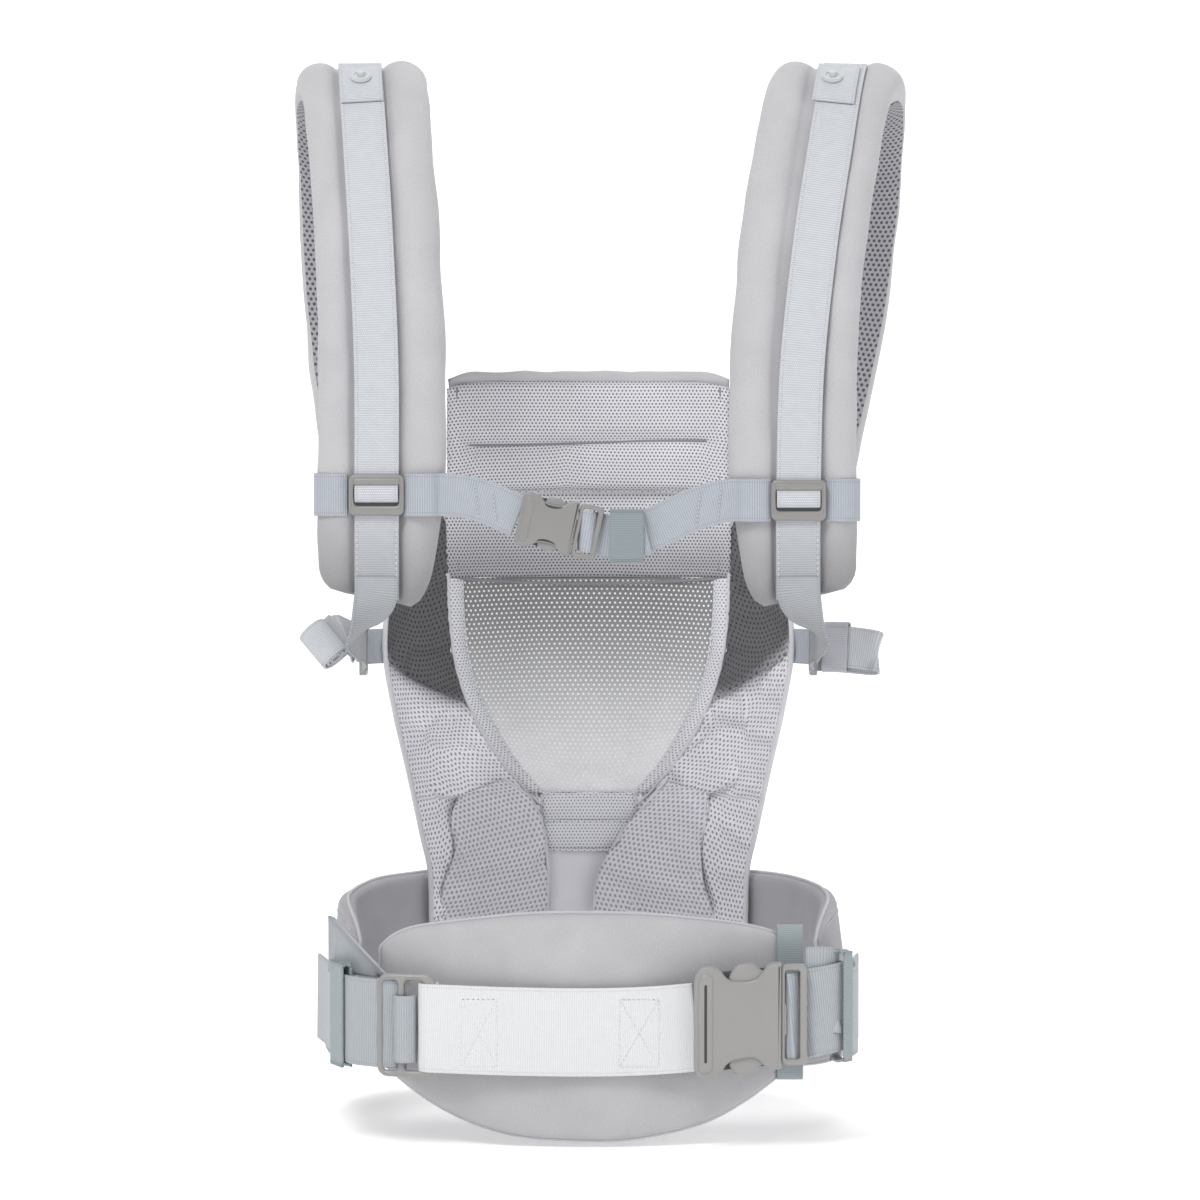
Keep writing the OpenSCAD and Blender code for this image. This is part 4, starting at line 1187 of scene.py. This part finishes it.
def lay(name, body, route, w, wide, paint, *nodes, slot="webbing", **how):
    """A length of webbing along a route, on a body."""
    return put(webbing(name, route, w, wide, paint, **how), body, slot, *nodes)


def box_stitches(name, x0, x1):
    """The crossed square of stitches that holds the end of the white webbing."""
    low, high = -20, 18
    corners = [(x0, low), (x1, low), (x1, high), (x0, high), (x0, low), (x1, high), (x0, high), (x1, low)]
    line = np.concatenate([np.linspace(p, q, 12)[:-1] for p, q in zip(corners, corners[1:])])
    x, y, _ = np.transpose(white_front)
    line = np.stack([line[:, 0], np.interp(line[:, 0], x, y) - 0.85, line[:, 1] - 1.5], 1)
    sew(name, line, (0, -1, 0), 2.8, 1.9, 0.25, white_thread, slot="white_webbing")


def flap():
    """The loose triangle of webbing that stands up at the left end of the belt."""
    share = np.linspace(0, 1, 9)
    corner = [[[-148 + 3 * k, -92 - 5.5 * k, 58 - 0.4 * k] for k in share],
              [[-148 + 40 * k, -92 - 33 * k ** 1.1, 55 - 32 * k ** 0.8] for k in share],
              [[-148 + 42 * k, -92 - 34 * k ** 1.1, 26] for k in share]]
    rows = smooth(np.array(corner).reshape(3, -1), 5).reshape(-1, 9, 3)
    put(shell("waist_flap_cloth", rows, 1.5, waist_web), "carrier", "webbing", "waist_flap")


def waist_webbing():
    lay("waist_strap_white", "carrier", white_route, UP, WIDE, white_web, "waist_webbing",
        slot="white_webbing", steps=10)
    box_stitches("waist_box_stitches_1", -71, -51)
    box_stitches("waist_box_stitches_2", 18, 40)
    lay("waist_glide_wrap", "carrier", [[-97, -130, -1], [-98.6, -134.2, -1], [-103, -136.4, -1],
        [-107.2, -135, -1], [-108.8, -130.8, -1]], UP, 38, waist_web)
    lay("waist_strap_left", "carrier", [[-101, -129.4, 1], [-112, -130, 1.5], [-121.5, -128.6, 2],
        [-133, -119, 2], [-142, -100, 2], [-147.5, -78, 3], [-151.5, -57, 4], [-157.5, -36, 5]],
        UP, WIDE, waist_web, "waist_webbing_left")
    lay("waist_strap_right", "carrier", [[147, -124, 6], [151, -112, 6], [154, -92, 5], [154.5, -72, 4],
        [154.5, -56, 5], [157.5, -36, 5]], UP, WIDE, waist_web, "waist_webbing_right")
    lay("safety_loop", "carrier", [[115, -98, -28], [115, -105, -32], [115, -111.8, -29], [115, -113, 0],
        [115, -113, 30], [115, -111.5, 49], [115, -105, 54], [115, -98, 51]],
        (1, 0, 0), 15, elastic, "waist_safety_loop", slot="elastic")
    keeper = ring_band("waist_keeper_band_left", [-140.6, -103.5, 4], UP, (-0.91, -0.41, 0), 28.5, 2.6,
                       (-0.41, 0.91, 0), 19, elastic, 1.4)
    put(keeper, "carrier", "elastic", "waist_keeper_left")
    flap()

    # The folded tail beyond the plug: up, over and back in open loops
    lay("waist_tail_outer", "waist_plug", [[110.4, -139.5, 7], [110.6, -143, 7], [113.6, -145.6, 7],
        [117.4, -143.6, 7.6], [120.4, -140.6, 8], [128, -140.2, 9.6], [138, -136.4, 11], [143.6, -131, 12],
        [141.5, -126.6, 12], [136, -127.6, 12]], UP, WIDE, waist_web, "waist_webbing_tail")
    lay("waist_tail_inner", "waist_plug", [[123, -139, 22], [131, -136.8, 22], [137.5, -133, 21],
        [139.5, -129.8, 20], [136, -130.6, 20], [127, -134.5, 19]], UP, WIDE - 2, waist_web)
    keeper = ring_band("waist_keeper_band_right", [143, -131.5, 12], UP, (0.8, -0.6, 0), 31, 4.5,
                       (0.6, 0.8, 0), 8, elastic, 1.4)
    put(keeper, "waist_plug", "elastic", "waist_keeper_right")


waist_webbing()


# ---------------------------------------------------------------- moulded fittings

# Upper half of a housing, as shares of its length and half height: from its webbing end to its mouth
half_buckle = [(-1, 0.70), (-0.985, 0.86), (-0.93, 0.965), (-0.85, 1.0), (-0.76, 0.975), (-0.69, 0.90),
               (-0.64, 0.80), (-0.58, 0.735), (-0.47, 0.71), (-0.36, 0.71), (-0.28, 0.755), (-0.22, 0.86),
               (-0.16, 0.965), (-0.11, 1.0), (-0.02, 1.0), (0, 0.985)]

# In the same shares: a spring arm from its root to the thumb pad, and the painted shadow in the groove under a
# thumb scoop
spring_arm = [(-0.035, 0.80), (-0.20, 0.83), (-0.31, 0.95), (-0.36, 0.99), (-0.48, 0.99), (-0.54, 0.93),
              (-0.60, 0.78), (-0.56, 0.66), (-0.40, 0.64), (-0.15, 0.64), (-0.035, 0.64)]
scoop_groove = [(-0.61, 0.70), (-0.55, 0.665), (-0.46, 0.65), (-0.37, 0.655), (-0.29, 0.69), (-0.33, 0.62),
                (-0.44, 0.57), (-0.56, 0.60)]
FLIPS = ("upper", 1), ("lower", -1)


def mould(name, body, loops, thick, bevel, place, paint, *nodes):
    """A moulded plate on a body."""
    put(plate(name, loops, thick, bevel, place, paint), body, "plastic", *nodes)


def buckle_outline(long, left, right, slope=0.0, drop=0.0):
    """Outline of a housing whose half height goes from left to right; its middle line may slope."""
    high = [(x * long, y * (left + (right - left) * (1 + x))) for x, y in smooth(half_buckle, 3)]
    low = [(x, -y) for x, y in reversed(high)]
    return [(x, y + drop + slope * (x + long / 2)) for x, y in high + low]


def prong_loop(long, half, flip, slope=0.0, drop=0.0):
    """One spring arm: from its root at the plug to the thumb pad that fills the housing's scoop."""
    return [(x * long, flip * y * half + drop + slope * (x * long + long / 2))
            for x, y in smooth(spring_arm, 3)]


def waist_buckle():
    """The housing slopes down a little to its webbing end."""
    long, slope, rise = 49, 0.10, 3.0

    def sloped(x, y, r, cx):
        return box_loop(x, y, r, cx, rise + slope * (cx + long / 2), slope)

    def place(y):
        return at(108.6, y, 3)

    mouth = place(-144.5)
    mould("waist_buckle_body", "carrier", [buckle_outline(long, 32.5, 29.5, slope, rise)], 12.4, 1.7, mouth,
          plastic, "waist_buckle_housing")
    mould("waist_buckle_ridge", "carrier", [sloped(9, 57, 4.2, -42.5)], 14.6, 2.2, mouth, plastic)
    # The next two are dark plates: painted shadow in the housing's hollow and in the slit.
    mould("waist_buckle_cavity_shadow", "carrier", [sloped(30, 55, 3, -21)], 5, 0.8, mouth, shadow)
    mould("waist_buckle_slit", "carrier", [sloped(1.6, 44, 0.7, -42.5)], 1.2, 0.3, place(-151.4), shadow)
    for name, flip in FLIPS:
        node = "waist_prong_" + name
        mould("waist_prong_pad_" + name, node, [prong_loop(long, 31.5, flip, slope, rise)], 8.4, 1.6, mouth,
              plastic, node)
    lift = rise + slope * 30
    frame_loops = [box_loop(14.4, 57, 3.4, 7.2, lift), box_loop(8.4, 50.4, 1.6, 6.2, lift)]
    mould("waist_plug_frame", "waist_plug", frame_loops, 5.4, 1.1, place(-146), plastic, "waist_buckle_plug")
    mould("waist_plug_tongue", "waist_plug", [box_loop(30, 20, 3, -12, rise)], 7.0, 1.0, mouth, plastic)


def tri_glide():
    loops = [box_loop(34, 58.5, 6.5), box_loop(8.6, 51, 2.4, -9.2), box_loop(11.5, 51, 2.4, 4.6)]
    mould("waist_glide_frame", "carrier", loops, 4.6, 1.9, at(-102, -132.5, 1, 0, -10), plastic,
          "waist_tri_glide")


def chest_buckle():
    long = 32

    def place(y):
        return at(-7, y, 281, 12)

    mouth = place(-144)
    mould("chest_buckle_body", "chest_left", [buckle_outline(long, 15.6, 15.4)], 9.2, 1.4, mouth,
          chest_plastic, "chest_buckle_housing")
    mould("chest_buckle_ridge", "chest_left", [box_loop(6, 26, 2.6, -27.6)], 10.6, 1.8, mouth, chest_plastic)
    for name, flip in FLIPS:
        # Each groove is a dark plate: painted shadow in the gap under a thumb scoop.
        groove = smooth([(x * long, flip * y * 15.5) for x, y in scoop_groove], 3, closed=True)
        mould("chest_buckle_groove_" + name, "chest_left", [groove], 0.6, 0.1, place(-148.4), shadow)
        node = "chest_prong_" + name
        mould("chest_prong_pad_" + name, node, [prong_loop(long, 15.2, flip)], 6.2, 1.2, mouth, chest_plastic,
              node)
    # A dark plate: painted shadow in the housing's hollow.
    mould("chest_buckle_cavity_shadow", "chest_left", [box_loop(19, 27, 2, -13.6)], 4, 0.8, mouth, shadow)
    frame_loops = [box_loop(13.6, 30.5, 2.6, 7.2), box_loop(8.4, 25, 1.4, 6.8)]
    mould("chest_plug_frame", "chest_plug", frame_loops, 5.0, 1.0, place(-145), chest_plastic,
          "chest_buckle_plug")
    mould("chest_plug_tongue", "chest_plug", [box_loop(18, 11, 2, -7)], 5.0, 0.8, mouth, chest_plastic)


CHEST_Z = {"left": 300, "right": 297}


def chest_sliders():
    """The frames that ride on the rails, each with the rail's webbing bulging through it."""
    for side, s in SIDES.items():
        x, z, body = s * strap_out, CHEST_Z[side], "chest_" + side
        place = at(x, -139.4, z)
        loops = [box_loop(31, 23, 3.2), box_loop(25, 12.6, 1.8, 0, 0.2)]
        mould("chest_slider_frame_" + side, body, loops, 5.6, 1.6, place, chest_plastic, "chest_slider_" + side)
        # The gap is a dark plate: painted shadow in the bottom of the frame's opening.
        gap = box_loop(24.6, 2.2, 0.8, 0, -5.1)
        mould("chest_slider_gap_" + side, body, [gap], 1.2, 0.3, at(x, -140.2, z), shadow)
        mould("chest_slider_rib_" + side, body, [box_loop(27, 4.4, 2, 0, 7.6)], 7.6, 1.8, place, chest_plastic)
        bulge = [(-140.2, -3.6), (-141.4, -2.6), (-142.3, 0.9), (-141.4, 4.6), (-140.2, 6)]
        lay("chest_slider_web_" + side, body, [[x, y, z + up] for y, up in bulge], (1, 0, 0), 24.4, rail_web,
            steps=5)


waist_buckle()
tri_glide()
chest_buckle()
chest_sliders()


# ---------------------------------------------------------------- chest strap

def chest_loop(side):
    """The loop of webbing round a pad; gives the points of its front run, from the slider inwards."""
    s, z = SIDES[side], CHEST_Z[side]
    path, a, out, co = pads[side]
    rows = (path[:, 2] > 250) & (path[:, 2] < 350) & (np.arange(len(path)) < 3 * STEP)
    centre = np.array([s * strap_out, -124.0])
    section = co[rows][..., :2] - centre
    far = np.linalg.norm(section, axis=2).max(0)
    outline = unit(section.mean(0)) * (far + 1.3)[:, None]
    n = len(outline)
    kept = [j for j in range(n) if not (abs(outline[j, 0]) < 15.6 and outline[j, 1] < 0)]
    start = next(k for k in range(n) if k in kept and (k - 1) % n not in kept)
    line = outline[[(start + k) % n for k in range(len(kept))]]
    for _ in range(3):
        line[1:-1] = (line[:-2] + 2 * line[1:-1] + line[2:]) / 4
    loop = np.stack([line[:, 0] + centre[0], line[:, 1] + centre[1], np.full(len(line), float(z))], 1)
    lay("chest_wrap_" + side, "chest_" + side, loop, UP, NARROW, chest_web, "chest_loop_" + side, steps=2)
    front = [q for q in loop if q[1] < -130 and (q[0] - centre[0]) * s < -14]
    return sorted(front, key=lambda q: abs(q[0]), reverse=True)


def chest_strap(side):
    """The webbing from a slider's loop to the buckle; the right one is attached to no body and stays where it
    is drawn.
    """
    s, z = SIDES[side], CHEST_Z[side]
    route = [[q[0], q[1] - 1.9, z] for q in chest_loop(side)[::3]]
    if side == "left":
        route += [[-72, -138, z - 0.6], [-62, -138.6, 297.5], [-52, -140.5, 294], [-44, -142.6, 290.4],
                  [-38.6, -143.6, 288.2]]
        lay("chest_strap_left", "chest_left", route, UP, NARROW, chest_web, "chest_webbing_left")
        marks = route[-4], route[-3]
    else:
        route += [[74, -137, 296], [62, -137.4, 292.6], [50, -138.4, 287.5], [38, -139.4, 281.8],
                  [24, -140.6, 277.8], [12, -141.6, 277], [6.5, -141.9, 278]]
        piece = webbing("chest_strap_right", route, UP, NARROW, chest_web)
        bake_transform(piece)
        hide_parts("chest_webbing_right")
        marks = route[-7], route[-6]
    for k, m in enumerate(marks):
        line = np.array([[m[0] + s * 1.2 * (q / 11), m[1] - 1.4, m[2] + q] for q in stitch_row])
        seam = stitches("chest_stitches_%s_%d" % (side, k + 1), line, (0, -1, 0), 2.4, 1.6, 0.3)
        put(seam, "chest_" + side, "webbing")


for side in SIDES:
    chest_strap(side)
lay("chest_tail", "chest_plug", [[-4.6, -142.6, 280.6], [-3, -145.6, 280.2], [0, -146.6, 279.6],
    [3, -145.2, 279], [6.4, -142.6, 278.3], [12, -143.4, 277.2], [18, -145, 276.8], [26, -145.2, 276.9],
    [33.4, -145.2, 278.4]], UP, NARROW - 0.5, chest_web, "chest_webbing_tail")
put(ring_band("chest_keeper_band", [22, -144.2, 277], UP, (0, -1, 0), 14.6, 3.3, (1, 0, 0), 19,
              chest_elastic, 1.2), "chest_keeper", "elastic", "chest_keeper")


# ---------------------------------------------------------------- side adjusters

def adjuster_strap(side):
    """The webbing from a pad's foot back to the ladder lock, with a quarter turn, and the tab beyond it."""
    s = SIDES[side]
    route = [[118, -139.2, 254], [118.3, -139.3, 245], [120.5, -137.5, 236], [125, -133, 226],
             [129, -127, 221], [130, -113, 217], [130, -92, 215.5], [130, -55, 213], [131, -20, 209],
             [133.5, 10, 205]]
    turned = [[-1, 0, 0], [-1, 0, 0], [-0.92, 0.4, 0], [-0.55, 0.83, 0], [-0.1, 1, 0.2], [0, 0.5, 0.86],
              [0, 0, 1], [0, 0, 1], [0, 0, 1], [0, 0, 1]]
    tab = [[123, 54, 205], [129.5, 48, 205], [133.4, 41, 205], [134.6, 35.4, 205], [132.4, 34.2, 205]]
    route, turned, tab = (np.array(line) * [s, 1, 1] for line in (route, turned, tab))
    strap = swept("adjuster_strap_" + side, smooth(route, 10), smooth(turned, 10), band(NARROW, 1.6),
                  adjuster_web)
    put(strap, "carrier", "webbing", "adjuster_webbing_" + side)
    lay("anchor_cloth_" + side, "carrier", tab, UP, 21, chest_web, "anchor_tab_" + side)


def rolled_tail():
    """The left adjuster's tail, rolled up tightly, and its end going back to the ladder lock."""
    axis = unit([0.62, -0.36, -0.70])
    flat = unit(np.cross(axis, [0, 1, 0]))
    deep = np.cross(axis, flat)
    turns = np.linspace(0, 2.75, 56) * 2 * math.pi
    centre = np.array([-156.5, 10, 209])
    spiral = [centre + flat * r * 1.08 * math.cos(q) + deep * r * 0.8 * math.sin(q)
              for q, r in zip(turns, 2.2 + 1.27 * turns / math.pi)]
    end = spiral[-1]
    tail = smooth([end, end + flat * 6 + [0, 0.6, 0], end + flat * 12 + [0, 2.5, 0], [-141, 27, 211],
                   [-136, 32, 206]], 8)[1:]
    turned = [axis] * len(spiral) + [axis * (1 - k) + np.array([0.05, 0, -1]) * k
                                     for k in np.clip(np.linspace(-0.4, 1, len(tail)), 0, 1)]
    put(swept("webbing_roll_cloth", np.concatenate([spiral, tail]), turned, band(24.5, 1.5, 6), rail_web),
        "adjuster_left", "webbing", "webbing_roll_left")
    put(ring_band("roll_keeper", end + flat * 9 + [0, 1.4, 0], axis, deep, 13.8, 2.6, flat, 7, fold_elastic,
                  1.0), "adjuster_left", "elastic")


def folded_tail():
    """The right adjuster's tail, folded flat under a keeper."""
    fold = [[137, 20, 204], [146, 18.4, 203.6], [160, 15, 202.6], [169, 11.8, 202], [171.4, 9.2, 203],
            [169, 7.6, 204.6], [160, 9.8, 206], [149, 12.2, 207], [139, 14.6, 207]]
    lay("webbing_fold_cloth", "adjuster_right", fold, (0.06, 0.1, 1), 24.5, rail_web, "webbing_fold_right")
    put(ring_band("fold_keeper", [147.5, 15.2, 206.4], (0.04, 0.1, 1), (-0.22, -0.97, 0), 14.4, 5.8,
                  (0.97, -0.22, 0), 15, fold_elastic, 1.0), "adjuster_right", "elastic")


for side in SIDES:
    adjuster_strap(side)
rolled_tail()
folded_tail()


# ---------------------------------------------------------------- CAD nodes that keep their shape

painted = {"foam": foam, "plastic": plastic, "stud": clear, "fabric": fabric, "fine_mesh": head_mesh,
           "window_mesh": window, "side_mesh": seat_mesh, "webbing": waist_web, "white_webbing": white_web,
           "elastic": elastic}
slots = {p["node"]: p["material_slot"] for p in frame["record"]["subparts"]}
hard_web = moulded("plain_webbing", (188, 194, 201), 0.8)
hard_elastic = moulded("plain_elastic", (172, 178, 183), 0.85)
for name, ob in NODES.items():
    if ob.hide_render:
        continue
    slot = slots[name]
    paint = {"webbing": hard_web, "elastic": hard_elastic}.get(slot, painted[slot])
    ob.data.materials.clear()
    ob.data.materials.append(paint)
    bevel = ob.modifiers.new("bevel", "BEVEL")
    bevel.width = 0.0006
    bevel.segments = 2
    bevel.limit_method = "ANGLE"
    bevel.angle_limit = math.radians(40)
    bevel.harden_normals = False

make_camera()
make_studio()
